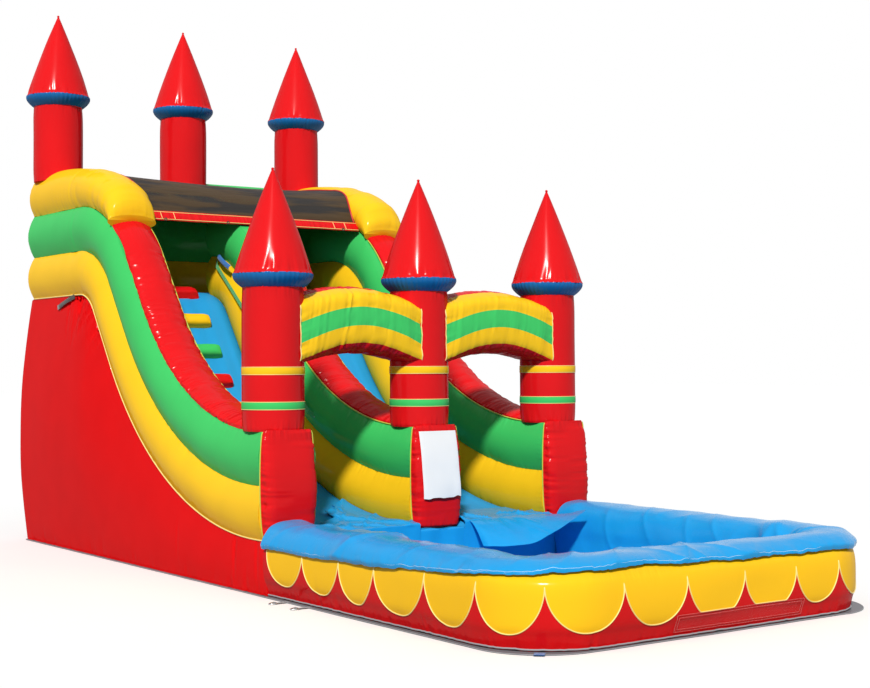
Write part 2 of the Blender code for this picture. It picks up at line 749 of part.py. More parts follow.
def wall_top_cutter(side_name, x):
    """Make the cutting shape that seats a front column on the top of its wall."""
    reach = COLUMN_DIAMETER / 2 + OVERRUN
    seat = TOP_SEAM + SEAT
    rings = []
    for at in stations(AT_WALL_FRONT - SEAM / 2, AT_HOLLOW + COLUMN_DIAMETER):
        corners = ((x - reach, TUBE_PITCH), (x + reach, TUBE_PITCH), (x + reach, seat), (x - reach, seat))
        rings.append([place(at, height, across) for across, height in corners])
    return hide(add(f"{side_name}_wall_top_cutter", loft(rings), "red"))


def front_column(side_name, x):
    """Build a front turret's column with the wall's end panel in one piece."""
    foot = BED_FOOT_Z + TOP_SEAM - OVERRUN
    made = column(f"front_{side_name}_column", x, 0.0, foot, FRONT_EAVE_Z)
    cut(made, wall_top_cutter(side_name, x))
    cut(made, hide(add(f"front_{side_name}_post_shape", front_post(x), "red")), "UNION")
    return made


def net_cutter(side):
    """Make the cutting shape that fits the net round a back column."""
    radius = COLUMN_DIAMETER / 2 + SEAT
    profile = ((0, TOP_Z), (radius, TOP_Z), (radius, REAR_EAVE_Z), (0, REAR_EAVE_Z))
    where = (side * WALL_SPACING, REAR_WALL_Y, 0)
    return hide(add(f"net_cutter_{side + 1}", turned(profile), "red", where))


def rear_column(side_name, x, cutters):
    """Build a back turret's column, with its foot fitted over the tubes below."""
    made = column(f"rear_{side_name}_column", x, REAR_WALL_Y, REAR_SEAT_Z, REAR_EAVE_Z)
    return fitted(made, cutters)


def column_cutter(side):
    """Make the cutting shape that fits the arches and caps round a front column."""
    radius = COLUMN_DIAMETER / 2 + SEAT
    profile = ((0, BED_FOOT_Z), (radius, BED_FOOT_Z), (radius, FRONT_EAVE_Z), (0, FRONT_EAVE_Z))
    where = (side * WALL_SPACING, 0, 0)
    return hide(add(f"column_cutter_{side + 1}", turned(profile), "red", where))


def arch(name, side, cutters):
    """Build an arch between two front turrets, lapped round the front of both columns."""
    span = WALL_SPACING - 2 * ARCH_LAP
    middle = side * LANE_X
    rings = []
    deep = ARCH_REAR_Y - ARCH_FRONT_Y
    for share in ARCH_SPAN_SHARES:
        x = middle + span * (share - 1 / 2)
        lift = math.sin(math.pi * share)
        low = ARCH_SPRING_Z + ARCH_RISE * lift
        tall = ARCH_HEIGHT + (ARCH_TOP_RISE - ARCH_RISE) * lift
        swell = ARCH_BULGE * min(1.0, lift * 2)
        ring = []
        for ahead, up, swell_back, swell_up in ARCH_SECTION_SHARES:
            y = ARCH_FRONT_Y + deep * ahead + swell * swell_back
            ring.append((x, y, low + tall * up + swell * swell_up))
        rings.append(ring)
    return fitted(add(name, loft(rings), "yellow"), cutters)


def net_share(gone):
    """Return how high on the top tubes the net is sewn, past a distance from their front."""
    share = min(max((gone - NET_LIFT_START) / NET_LIFT_LENGTH, 0.0), 1.0)
    return NET_REAR_SHARE * (1 - (1 - share) ** 3)


def profile_half_width(up, height):
    """Return a top tube's half width at a height above its seam, on its facets."""
    side = [point for point in tube_profile(height) if point[0] >= 0]
    for low, high in zip(side, side[1:]):
        if low[1] <= up <= high[1]:
            return low[0] + (high[0] - low[0]) * (up - low[1]) / (high[1] - low[1])
    return HALF_WALL


def solid_sheet(made, thick):
    """Give an open sheet its thickness, on the side that its faces look to."""
    skin = made.modifiers.new("thickness", "SOLIDIFY")
    skin.thickness = thick
    skin.offset = 1.0
    skin.use_even_offset = True
    return made


def sheet_object(name, mesh_source, colour, thick, up=(0, 0, 1)):
    """Link an open sheet as one named object, its faces turned to the given side."""
    bmesh.ops.recalc_face_normals(mesh_source, faces=mesh_source.faces)
    total = sum((face.normal * face.calc_area() for face in mesh_source.faces), Vector())
    if total.dot(Vector(up)) < 0:
        bmesh.ops.reverse_faces(mesh_source, faces=mesh_source.faces)
    mesh = bpy.data.meshes.new(name)
    mesh_source.to_mesh(mesh)
    mesh_source.free()
    mesh.shade_smooth()
    made = bpy.data.objects.new(name, mesh)
    mesh.materials.append(material(colour, 0.6 if colour == "mesh" else 0.28))
    bpy.context.scene.collection.objects.link(made)
    return solid_sheet(made, thick)


def roof_net(cutters):
    """Build the mesh visor over the platform, slung between the two top tubes."""
    front = AT_NET_FRONT
    rear_half = profile_half_width(TOP_TUBE_HEIGHT * NET_REAR_SHARE, TOP_TUBE_HEIGHT)
    rear = distance_at(REAR_WALL_Y - rear_half - 2 * SEAT)
    shape = bmesh.new()
    rows = []
    for at in (front + (rear - front) * share for share in NET_ROW_SHARES):
        height = top_tube_height(at)
        up = net_share(seam_gone(at)) * height
        ease = smooth_step((at - front) / (AT_DECK - front))
        ease *= smooth_step((rear - at) / NET_LIFT_LENGTH)
        half = WALL_SPACING - profile_half_width(up, height) + NET_TUCK
        row = []
        for i in range(NET_COLUMNS + 1):
            share = 2 * i / NET_COLUMNS - 1
            fold = NET_FOLD * math.sin(NET_FOLDS * (seam_gone(at) + NET_SKEW_SHARE * share))
            drop = (NET_SAG - fold) * (1 - share**2) * ease
            row.append(shape.verts.new(place(at, TOP_SEAM + up - drop, share * half)))
        rows.append(row)
    for low, high in zip(rows, rows[1:]):
        for i in range(NET_COLUMNS):
            shape.faces.new((low[i], low[i + 1], high[i + 1], high[i]))
    return fitted(sheet_object("roof_net", shape, "mesh", NET_THICK), cutters)


def roof_band(cutters):
    """Build the red hem band along the net's front edge."""
    height = top_tube_height(AT_NET_FRONT)
    up = net_share(NET_FRONT_GONE) * height
    half = WALL_SPACING - profile_half_width(up, height) + NET_TUCK
    _, y, z = place(AT_NET_FRONT, TOP_SEAM + up, 0)
    rings = []
    for i in range(NET_COLUMNS // 2 + 1):
        share = 4 * i / NET_COLUMNS - 1
        low_y, low_z = y - BAND_LEAN, z - BAND_HEIGHT
        top_y, top_z = y - SEAT - BAND_THICK / 3, z
        x = share * half
        rings.append(
            [
                (x, top_y, top_z),
                (x, top_y - BAND_THICK, top_z - BAND_THICK / 3),
                (x, (top_y + low_y) / 2 - BAND_THICK * BAND_BELLY_SHARE, (top_z + low_z) / 2),
                (x, low_y - BAND_THICK, low_z),
                (x, low_y, low_z),
            ]
        )
    return fitted(add("roof_band", loft(rings), "red"), cutters)


def middle_wall_reach(height):
    """Return how far the middle wall's faceted side stands out at a height above the run line."""
    share = (height % TUBE_PITCH) / TUBE_PITCH
    for low, high in zip(SIDE_SHARES, SIDE_SHARES[1:]):
        if share <= high:
            part = (share - low) / (high - low)
            return HALF_WALL + WALL_BULGE * (arc_share(low) * (1 - part) + arc_share(high) * part)
    return HALF_WALL


def hand_strap():
    """Build the green webbing strap that climbers hold, along the middle wall."""
    top = Vector((0, STRAP_TOP_Y, STRAP_TOP_Z))
    foot = Vector((0, STRAP_FOOT_Y, STRAP_FOOT_Z))
    along = (foot - top).normalized()
    across = Vector((0, -along.z, along.y)) * (STRAP_WIDTH / 2)
    off = HALF_WALL + WALL_BULGE + STRAP_STAND_OFF
    reaches = []
    for end in (top, foot):
        edges = [height_over(corner.y, corner.z) for corner in (end - across, end, end + across)]
        reaches.append(max(middle_wall_reach(height) for height in edges) + SEAT)
    path = [
        (top, reaches[0]),
        (top + along * STRAP_TURN / 3, reaches[0] + (off - reaches[0]) * STRAP_RISE_SHARE),
        (top + along * STRAP_TURN, off),
        (foot - along * STRAP_TURN, off),
        (foot - along * STRAP_TURN / 3, reaches[1] + (off - reaches[1]) * STRAP_RISE_SHARE),
        (foot, reaches[1]),
    ]
    rings = []
    for middle, reach in path:
        near = middle - Vector((reach, 0, 0))
        far = near - Vector((STRAP_THICK, 0, 0))
        rings.append([near + across, near - across, far - across, far + across])
    return add("hand_strap", loft(rings), "green")


def pool_rail(side_steps, front_steps, corner_steps=5, rear_gap=SEAM):
    """List the stations of the pool wall's inner line as (x, y, normal x, normal y)."""
    turn_x, turn_y = POOL_INNER_X - POOL_INNER_RADIUS, POOL_INNER_Y + POOL_INNER_RADIUS
    rear = BASE_FRONT_Y - rear_gap
    side_ys = [rear + (turn_y - rear) * i / side_steps for i in range(side_steps)]
    rail = [(-POOL_INNER_X, y, -1.0, 0.0) for y in side_ys]
    for i in range(corner_steps + 1):
        turn = math.pi + math.pi / 2 * i / corner_steps
        nx, ny = math.cos(turn), math.sin(turn)
        rail.append((-turn_x + POOL_INNER_RADIUS * nx, turn_y + POOL_INNER_RADIUS * ny, nx, ny))
    mirrored = [(-x, y, -nx, ny) for x, y, nx, ny in rail[::-1]]
    front_xs = [turn_x * (2 * i / front_steps - 1) for i in range(1, front_steps)]
    return rail + [(x, POOL_INNER_Y, 0.0, -1.0) for x in front_xs] + mirrored


def pool_section(turn_share, grow=0.0):
    """Return the pool wall's section point (outward, up) at a turn, grown by a clearance."""
    across, up = math.cos(math.pi * turn_share), math.sin(math.pi * turn_share)
    power = 2 / POOL_SQUARENESS
    half = POOL_TUBE_WIDTH / 2
    high = POOL_TUBE_HEIGHT - POOL_TUBE_BELLY_Z if up > 0 else POOL_TUBE_BELLY_Z
    out = half + math.copysign((half + grow) * abs(across) ** power, across)
    return out, POOL_TUBE_BELLY_Z + math.copysign((high + grow) * abs(up) ** power, up)


def pool_wall():
    """Build the inflated wall round three sides of the pool."""
    foot = SHEET_THICK + SEAM
    half = POOL_TUBE_WIDTH / 2
    section = [(half + POOL_FOOT_WIDTH / 2, foot)]
    section += [pool_section(share) for share in POOL_TURN_SHARES]
    section.append((half - POOL_FOOT_WIDTH / 2, foot))
    rings = []
    for x, y, nx, ny in pool_rail(POOL_SIDE_STEPS, POOL_SIDE_STEPS):
        rings.append([(x + nx * out, y + ny * out, up) for out, up in section])
    return add("pool_wall", loft(rings), "red")


def hem_wave(i):
    """Return the liner hem's wave at a station, from -1 to 1, never quite regular."""
    return sum(size * math.sin(pace * i + start) for size, pace, start in LINER_WAVES)


def liner_fold(i):
    """Return how far the liner's foot folds in at a station."""
    return LINER_FOLD * (1 + math.sin(LINER_FOLD_PACE * i)) / 2


def liner_round(i, station):
    """List the liner's points over the pool wall at one station, from the floor to the hem."""
    x, y, nx, ny = station
    floor = SHEET_THICK + SEAT
    fold = liner_fold(i)
    points = [(-LINER_FLOOR_EDGE - fold, floor), (-LINER_FOLD - fold, POOL_TUBE_BELLY_Z / 2)]
    points.append((-SEAT * 4 - fold / 3, POOL_TUBE_BELLY_Z))
    points += [pool_section(share, SEAT * 2) for share in LINER_TURN_SHARES]
    drop = LINER_SIDE_DROP + (LINER_FRONT_DROP - LINER_SIDE_DROP) * ny**2
    hem_out = POOL_TUBE_WIDTH + LINER_HEM_OFF * (1 - ny**2)
    hem_out += (points[-1][0] + LINER_HEM_OFF - POOL_TUBE_WIDTH) * ny**2
    hem_up = POOL_TUBE_HEIGHT - drop + LINER_HEM_WAVE * hem_wave(i)
    points.append((hem_out + LINER_HEM_WAVE / 2 * (1 + hem_wave(i + 1)), hem_up))
    limits = LINER_CORNERS + (0.0,) * (len(points) - len(LINER_CORNERS))
    return [
        (x + nx * out, min(y + ny * out, BASE_FRONT_Y - limit), up)
        for (out, up), limit in zip(points, limits)
    ]


def liner_back(i, x):
    """List the liner's points at the pool's rear side, from the floor up and into a lane."""
    floor = SHEET_THICK + SEAT
    fold = liner_fold(i)
    front = BASE_FRONT_Y - SEAT
    in_lane = abs(abs(x) - LANE_X) <= LANE_HALF - LINER_LANE_MARGIN + SEAM
    height = BED_THICK + SEAT if in_lane else SEAT
    points = [(front - LINER_FLOOR_EDGE - fold, floor)]
    points.append((front - LINER_FOLD - fold, POOL_TUBE_BELLY_Z / 2))
    points.append((front - SEAT * 4 - fold / 3, POOL_TUBE_BELLY_Z))
    widest = POOL_INNER_X - LINER_FOLD
    drawn_in = [x * (POOL_INNER_X - limit) / widest for limit in LINER_CORNERS]
    points = [(across, *point) for across, point in zip(drawn_in, points)]
    points.append((x, front - SEAT * 2, BED_FOOT_Z + height))
    if in_lane and x < 0:
        skew = (x + LANE_X + LANE_HALF) / (2 * LANE_HALF)
        length = LINER_MAT_LENGTH * (LINER_MAT_START_SHARE + (1 - LINER_MAT_START_SHARE) * skew)
    elif in_lane:
        length = LINER_SLIDE_LENGTH
    else:
        length = LINER_POST_LAP
    for share in LINER_MAT_SHARES:
        points.append(place(length * share, height, x))
    return points


def pool_liner():
    """Build the loose blue liner: its floor, its folds, the hem over the wall and the lane mats."""
    lane = [LANE_X + (LANE_HALF - LINER_LANE_MARGIN) * share for share in LINER_LANE_SHARES]
    side = [POOL_INNER_X - LINER_FOLD, LANE_X + LANE_HALF - LINER_LANE_MARGIN / 4]
    across = side + lane + [LANE_X - LANE_HALF + LINER_LANE_MARGIN / 4]
    back_xs = across + [-x for x in across[::-1]]
    rail = pool_rail(LINER_SIDE_STEPS, LINER_FRONT_STEPS, rear_gap=LINER_POST_LAP / 4)
    columns = [("wall", liner_round(i, station)) for i, station in enumerate(rail)]
    for i, x in enumerate(back_xs):
        in_lane = abs(abs(x) - LANE_X) <= LANE_HALF - LINER_LANE_MARGIN + SEAM
        zone = f"lane {x > 0}" if in_lane else f"post {round(x)}"
        columns.append((zone, liner_back(i, x)))
    shape = bmesh.new()
    rows = [[shape.verts.new(point) for point in points] for _, points in columns]
    centre = shape.verts.new((0, (POOL_FRONT_Y + BASE_FRONT_Y) / 2, SHEET_THICK + SEAT))
    shared = 4
    for i, (zone, _) in enumerate(columns):
        j = (i + 1) % len(columns)
        shape.faces.new((centre, rows[i][0], rows[j][0]))
        last = len(rows[i]) if zone == columns[j][0] else shared
        for k in range(last - 1):
            shape.faces.new((rows[i][k], rows[i][k + 1], rows[j][k + 1], rows[j][k]))
    return sheet_object("pool_liner", shape, "blue", LINER_THICK)


def splash_flap():
    """Build the loose flap at the foot of the slide, which hangs over the pool's edge."""
    low, high = LANE_X - LANE_HALF + FLAP_MARGIN, LANE_X + LANE_HALF - FLAP_MARGIN
    lift = BED_THICK + LINER_THICK + 3 * SEAT
    shares = [i / FLAP_COLUMNS for i in range(FLAP_COLUMNS + 1)]
    rows = []
    for at in stations(0.0, FLAP_ON_BED)[::-1]:
        rows.append([place(at, lift, low + (high - low) * across) for across in shares])
    edge_y = BASE_FRONT_Y - 2 * LINER_THICK
    rows.append([(low + (high - low) * across, edge_y, BED_FOOT_Z + lift) for across in shares])
    for share in FLAP_HANG_SHARES:
        row = []
        for across in shares:
            lean = across**FLAP_FRONT_POWER
            hang = FLAP_HANG_LEFT + (FLAP_HANG_RIGHT - FLAP_HANG_LEFT) * lean
            drop = FLAP_DROOP * (1 - FLAP_CURL_SHARE * across**FLAP_CURL_POWER)
            drop *= share**FLAP_DROOP_POWER
            fold = FLAP_FOLD * math.sin(FLAP_FOLDS * across + 1) * share
            x = low + (high - low) * across
            row.append((x, edge_y - hang * share, BED_FOOT_Z + lift - drop + fold))
        rows.append(row)
    shape = bmesh.new()
    rows = [[shape.verts.new(point) for point in row] for row in rows]
    for near, far in zip(rows, rows[1:]):
        for i in range(FLAP_COLUMNS):
            shape.faces.new((near[i], near[i + 1], far[i + 1], far[i]))
    return sheet_object("splash_flap", shape, "blue", FLAP_THICK)


def web_loop(shape, where, heading):
    """Add one webbing loop round a ring's bar to a bmesh, its tail towards the ground sheet."""
    inner = RING_ROD / 2 + LOOP_PLAY
    outer = inner + LOOP_WEB
    turns = [math.pi * (2 * (i + 1) / LOOP_STEPS - 1) for i in range(LOOP_STEPS)]
    outline = [(outer * math.cos(t), outer * math.sin(t)) for t in turns]
    tail = [RING_AXIS_Z - SHEET_THICK * share for share in LOOP_TAIL_SHARES]
    outline += [(-LOOP_REACH, -tail[0]), (-LOOP_REACH, -tail[1])]
    hole = [(inner * math.cos(t), inner * math.sin(t)) for t in turns]
    place_it = Matrix.Translation(where) @ Matrix.Rotation(heading, 4, "Z")
    faces = []
    for side in (-LOOP_WIDTH / 2, LOOP_WIDTH / 2):
        loops = []
        for points in (outline, hole):
            verts = [shape.verts.new(place_it @ Vector((a, side, b))) for a, b in points]
            edges = [shape.edges.new((verts[i - 1], verts[i])) for i in range(len(verts))]
            loops.append((verts, edges))
        rims = [edge for _, edges in loops for edge in edges]
        bmesh.ops.triangle_fill(shape, edges=rims, use_beauty=True)
        faces.append([verts for verts, _ in loops])
    for near, far in zip(*faces):
        for i in range(len(near)):
            shape.faces.new((near[i - 1], near[i], far[i], far[i - 1]))


def ring_places():
    """List each anchor ring as (name, place of its bar's middle, heading of its reach)."""
    side_x = GROUND_HALF_WIDTH + SHEET_MARGIN + LOOP_REACH - LOOP_LAP
    rear_y = GROUND_REAR_Y + SHEET_MARGIN + LOOP_REACH - LOOP_LAP
    places = []
    for label, y in zip(("front", "pool"), SIDE_RING_YS):
        places.append((f"anchor_ring_left_{label}", (-side_x, y, RING_AXIS_Z), math.pi))
        places.append((f"anchor_ring_right_{label}", (side_x, y, RING_AXIS_Z), 0.0))
    places.append(("anchor_ring_rear_left", (-REAR_RING_X, rear_y, RING_AXIS_Z), math.pi / 2))
    places.append(("anchor_ring_rear_right", (REAR_RING_X, rear_y, RING_AXIS_Z), math.pi / 2))
    return places


def rounded_outline(half_width, front_y, rear_y, front_radius, rear_radius, steps=6):
    """List the points of a rectangle with round corners, counter-clockwise."""
    points = []
    for x, y, radius, start in (
        (half_width, front_y, front_radius, -1),
        (half_width, rear_y, rear_radius, 0),
        (-half_width, rear_y, rear_radius, 1),
        (-half_width, front_y, front_radius, 2),
    ):
        centre = (x - math.copysign(radius, x), y + (radius if y == front_y else -radius))
        for i in range(steps + 1):
            turn = math.pi / 2 * (start + i / steps)
            points.append((centre[0] + radius * math.cos(turn), centre[1] + radius * math.sin(turn)))
    return points


def ground_sheet():
    """Build the ground sheet under the slide and pool, with the webbing loops sewn to its edge."""
    outline = rounded_outline(
        GROUND_HALF_WIDTH + SHEET_MARGIN,
        POOL_FRONT_Y + (POOL_TUBE_WIDTH - POOL_FOOT_WIDTH) / 2 - SHEET_MARGIN,
        GROUND_REAR_Y + SHEET_MARGIN,
        SHEET_CORNER,
        SHEET_CORNER / 5,
    )
    rings = [[(x, y, z) for x, y in outline] for z in (0.0, SHEET_THICK)]
    made = add("ground_sheet", loft(rings), "grey")
    shape = bmesh.new()
    for _, where, heading in ring_places():
        web_loop(shape, where, heading)
    cut(made, hide(add("web_loops_shape", shape, "grey")), "UNION")
    return made


def anchor_ring(name, where, heading):
    """Build one steel D ring, at rest with its bow on the ground; its origin is on its bar."""
    half, rod = RING_WIDTH / 2, RING_ROD / 2
    droop = math.asin((RING_AXIS_Z - rod) / RING_REACH)
    bends = [math.pi * i / RING_BOW_STEPS for i in range(RING_BOW_STEPS + 1)]
    bow = [(RING_REACH * math.sin(bend), half * math.cos(bend)) for bend in bends]
    rings = []
    count = len(bow)
    up = Vector((0, 0, 1))
    for i in range(count):
        point, before, after = (Vector((*bow[k % count], 0)) for k in (i, i - 1, i + 1))
        into, away = (point - before).normalized(), (after - point).normalized()
        run = (into + away).normalized()
        across = Vector((run.y, -run.x, 0)) / run.dot(into)
        ring = []
        for k in range(RING_ROD_SIDES):
            turn = math.pi * (2 * k + 1) / RING_ROD_SIDES
            ring.append(point + across * (rod * math.cos(turn)) + up * (rod * math.sin(turn)))
        rings.append(ring)
    made = add(name, loft(rings, closed=True), "steel", where)
    made.rotation_euler = (0, droop, heading)
    made.rotation_mode = "XYZ"
    return made


def inflation_sleeve(cutter):
    """Build the open fabric sleeve at the back that takes the blower's mouth."""
    outer = SLEEVE_DIAMETER / 2
    inner = outer - SLEEVE_WALL
    start, end = GROUND_REAR_Y - OVERRUN, REAR_Y + REAR_BULGE + SLEEVE_LENGTH
    angles = [2 * math.pi * i / SLEEVE_SIDES for i in range(SLEEVE_SIDES)]
    ys = (start, (start + end) / 2, end - OVERRUN, end)
    rows = [(y, share, outer) for y, share in zip(ys, SLEEVE_WAIST_SHARES)]
    rows += [(y, share, inner) for y, share, _ in rows[::-1]]
    rings = []
    for y, share, radius in rows:
        ring = []
        for i, turn in enumerate(angles):
            ruffle = SLEEVE_RUFFLE * math.sin(SLEEVE_RUFFLES * turn) if y == end else 0.0
            reach = radius * share + ruffle
            ring.append((SLEEVE_X + reach * math.cos(turn), y, SLEEVE_Z + reach * math.sin(turn)))
        rings.append(ring)
    made = add("inflation_sleeve", loft(rings, closed=True), "red")
    cut(made, cutter)
    return made


def build_walls():
    """Build the walls, with their caps, and the arches between the front columns."""
    cutters = [column_cutter(side) for side in (-1, 0, 1)]
    for name, side in (("left", -1), ("right", 1)):
        x = side * WALL_SPACING
        ends = AT_WALL_FRONT, AT_REAR
        wall_band(f"{name}_wall_yellow", "yellow", x, 0.0, TUBE_PITCH, *ends, side)
        wall_band(f"{name}_wall_green", "green", x, TUBE_PITCH, TOP_SEAM, *ends, side)
        wall_cap(f"{name}_wall_cap", x, cutters[side + 1])
        top_tube(f"{name}_top_tube", x)
    ends = AT_WALL_FRONT, AT_DECK
    wall_band("divider_yellow", "yellow", 0.0, 0.0, TUBE_PITCH, *ends)
    wall_band("divider_green", "green", 0.0, TUBE_PITCH, TOP_SEAM, *ends, crown=DIVIDER_CROWN)
    wall_cap("divider_cap", 0.0, cutters[1])
    rear_band("rear_wall_yellow", "yellow", 0.0, TUBE_PITCH)
    rear_band("rear_wall_green", "green", TUBE_PITCH, TOP_SEAM)
    rear_beam("rear_beam")
    arch("left_arch", -1, cutters[:2])
    arch("right_arch", 1, cutters[1:])


def build_turrets(seats):
    """Build the three front and three back turrets, the latter on the shapes of their seats."""
    for name, side in (("left", -1), ("middle", 0), ("right", 1)):
        x = side * WALL_SPACING
        front_column(name, x)
        rear_column(name, x, [seats[side + 1]])
        for row, y, eave in (("front", 0.0, FRONT_EAVE_Z), ("rear", REAR_WALL_Y, REAR_EAVE_Z)):
            turret_ring(f"{row}_{name}_ring", x, y, eave)
            turret_cone(f"{row}_{name}_cone", x, y, eave)


def main():
    """Build the whole slide."""
    for old in list(bpy.data.objects):
        bpy.data.objects.remove(old)
    ground_sheet()
    slide_body("slide_base")
    bed("climb_bed", -1, True)
    bed("slide_bed", 1, False)
    cutter = bed_cutter()
    for number in range(1, STEP_COUNT + 1):
        climb_step(number, STEP_COLOURS[(number - 1) % len(STEP_COLOURS)], cutter)
    build_walls()
    left_tube = hide(top_tube("left_tube_cutter", -WALL_SPACING, SEAT))
    right_tube = hide(top_tube("right_tube_cutter", WALL_SPACING, SEAT))
    build_turrets((left_tube, hide(rear_beam("beam_cutter", SEAT)), right_tube))
    roof_net([net_cutter(side) for side in (-1, 0, 1)] + [left_tube, right_tube])
    roof_band([left_tube, right_tube])
    hand_strap()
    pool_wall()
    pool_liner()
    splash_flap()
    for name, where, heading in ring_places():
        anchor_ring(name, where, heading)
    inflation_sleeve(hide(slide_body("body_cutter", SEAT)))


main()
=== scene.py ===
"""Dress the double-lane inflatable water slide and set it in a plain studio.

Metres, +Z up, +Y towards the back, +X to the right of someone who faces the pool end. The origin
lies on the ground under the middle front turret. Each class below builds one sub-assembly out of
sewn skins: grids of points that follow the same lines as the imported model, only finer.
"""

import logging
import math
from collections.abc import Sequence
from dataclasses import dataclass, field
from enum import Enum

import bpy
import numpy as np
from mathutils import Matrix, Vector
from mathutils.kdtree import KDTree

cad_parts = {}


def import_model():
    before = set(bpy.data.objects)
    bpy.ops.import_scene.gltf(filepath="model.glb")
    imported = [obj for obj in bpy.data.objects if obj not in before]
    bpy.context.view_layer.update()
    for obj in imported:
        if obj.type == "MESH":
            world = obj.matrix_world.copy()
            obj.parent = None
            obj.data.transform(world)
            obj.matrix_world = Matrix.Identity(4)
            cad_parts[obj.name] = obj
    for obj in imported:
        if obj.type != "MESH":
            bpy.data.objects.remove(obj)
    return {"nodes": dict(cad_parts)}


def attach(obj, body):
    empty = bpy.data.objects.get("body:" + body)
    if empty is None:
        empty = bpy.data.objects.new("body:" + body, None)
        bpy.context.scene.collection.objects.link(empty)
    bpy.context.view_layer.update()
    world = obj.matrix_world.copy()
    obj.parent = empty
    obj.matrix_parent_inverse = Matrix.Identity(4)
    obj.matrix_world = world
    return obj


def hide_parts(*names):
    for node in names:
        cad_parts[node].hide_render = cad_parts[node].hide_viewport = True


log = logging.getLogger("slide")

Array = np.ndarray
Point = tuple[float, float, float]

# Walls and turrets in plan
WALL_SPACING = 1.45
HALF_WALL = 0.1965
WALL_BULGE = 0.070
REAR_WALL_Y = 4.516
REAR_Y = REAR_WALL_Y + HALF_WALL
LANE_X = WALL_SPACING / 2
LANE_HALF = WALL_SPACING / 2 - HALF_WALL

# Inflated tubes
TUBE_PITCH = 0.433
TOP_SEAM = 2 * TUBE_PITCH
TOP_TUBE_HEIGHT = 0.46
HALF_TUBE = 0.25
END_ROUND = 0.035

# Turrets
COLUMN_RADIUS = 0.25
CONE_RADIUS = 0.325
CONE_HEIGHT = 0.865
RING_HEIGHT = 0.115
FRONT_COLUMN_Z = 1.284
REAR_COLUMN_Z = 3.745
FRONT_EAVE_Z = 2.56
REAR_EAVE_Z = 4.65

# Body and pool
SHEET_THICK = 0.004
GROUND_HALF_WIDTH = 1.70
GROUND_REAR_Y = 4.73
POOL_FRONT_Y = -3.62
POOL_INNER_X = 1.27
POOL_TUBE_WIDTH = 0.46
POOL_INNER_Y = POOL_FRONT_Y + POOL_TUBE_WIDTH
POOL_CORNER = 0.18
POOL_TUBE_HEIGHT = 0.555
POOL_BELLY_Z = 0.26
BED_THICK = 0.050

# One millimetre in metres
MM = 0.001

# Clearance between two chambers and each one's half of it, the height of a foot that
# stands on the ground sheet, and how far a bed stays in from its lane's walls
FULL_GAP = 0.0004
HALF_GAP = 0.0002
FOOT_Z = SHEET_THICK + FULL_GAP
BED_INSET = 0.004

# Cloth: random cells in a table, a distance that counts as far from any seam, a crease's
# cell beside a seam, the scrim's waves in a metre and the millimetres that it stands out
NOISE_CELLS = 61
FAR = 9.0
CREASE_CELL = (0.045, 0.30)
THREADS_SCALE = 286.0
THREAD_MM = 0.02

# Stitches: their pitch, and how far one reaches each way as a share of it
STITCH_PITCH = 0.009
STITCH_REACH = 0.36

# Climbing steps: pitch along the lane, where the highest lies, width, depth and height
STEP_PITCH = 0.38
TOP_STEP_AT = 0.171
STEP_SIZE = (0.56, 0.13, 0.085)

# How far the ground sheet stands out past the chambers
SHEET_MARGIN = 0.035

# Anchor rings: height of the bar, the wire's radius, the bow's reach and half its width
BAR_Z = 0.0087
WIRE_RADIUS = 0.0045
RING_REACH = 0.050
RING_HALF = 0.028


def smooth_step(share: Array | float) -> Array:
    """Ease from 0 to 1.

    Args:
        share: How far along, clipped to 0 to 1.

    Returns:
        The eased share.
    """
    held = np.clip(share, 0.0, 1.0)
    return held * held * (3 - 2 * held)


def arc_share(share: Array) -> Array:
    """Return how far a pillow stands out at a share of its height.

    Args:
        share: The share of the height, from 0 to 1.

    Returns:
        From 0 at both seams to 1 in the middle.
    """
    return 1 - (2 * share - 1) ** 2


def evenly(start: float, end: float, pitch: float) -> Array:
    """List distances from start to end, about a pitch apart.

    Args:
        start: The first distance.
        end: The last distance.
        pitch: The wanted gap between two of them.

    Returns:
        The distances, both ends among them.
    """
    return np.linspace(start, end, max(2, round(abs(end - start) / pitch) + 1))


def full_turn(count: int) -> Array:
    """List angles, in radians, evenly round a circle."""
    return np.linspace(0, 2 * math.pi, count, endpoint=False)


def eased(count: int) -> Array:
    """List shares from 0 to 1 that lie closer together towards both ends."""
    return (1 - np.cos(np.linspace(0, math.pi, count))) / 2


def from_ends(values: Array) -> Array:
    """Return how far each of a rising row of values is from the nearer end."""
    return np.minimum(values - values[0], values[-1] - values)


def grid_of(*parts: Array | float) -> Array:
    """Return points with the given coordinates, broadcast together."""
    return np.stack(np.broadcast_arrays(*parts), -1)


def lengths(points: Array) -> Array:
    """Return the distance of each of a row of points along it."""
    return np.concatenate([[0.0], np.cumsum(np.linalg.norm(np.diff(points, axis=0), axis=1))])


def cloth_noise(along: Array, across: Array, seed: int) -> Array:
    """Return smooth random heights over a cloth.

    Args:
        along: First coordinate, in cells.
        across: Second coordinate, in cells.
        seed: Which random table to take.

    Returns:
        Values from -1 to 1, one for each place.
    """
    cells = NOISE_CELLS
    table = np.random.default_rng(seed).uniform(-1, 1, (cells, cells))
    along, across = np.broadcast_arrays(np.asarray(along, float), np.asarray(across, float))
    i, j = np.floor(along).astype(int), np.floor(across).astype(int)
    f, g = smooth_step(along - i), smooth_step(across - j)
    rows = [
        table[i % cells, k % cells] * (1 - f) + table[(i + 1) % cells, k % cells] * f
        for k in (j, j + 1)
    ]
    return rows[0] * (1 - g) + rows[1] * g


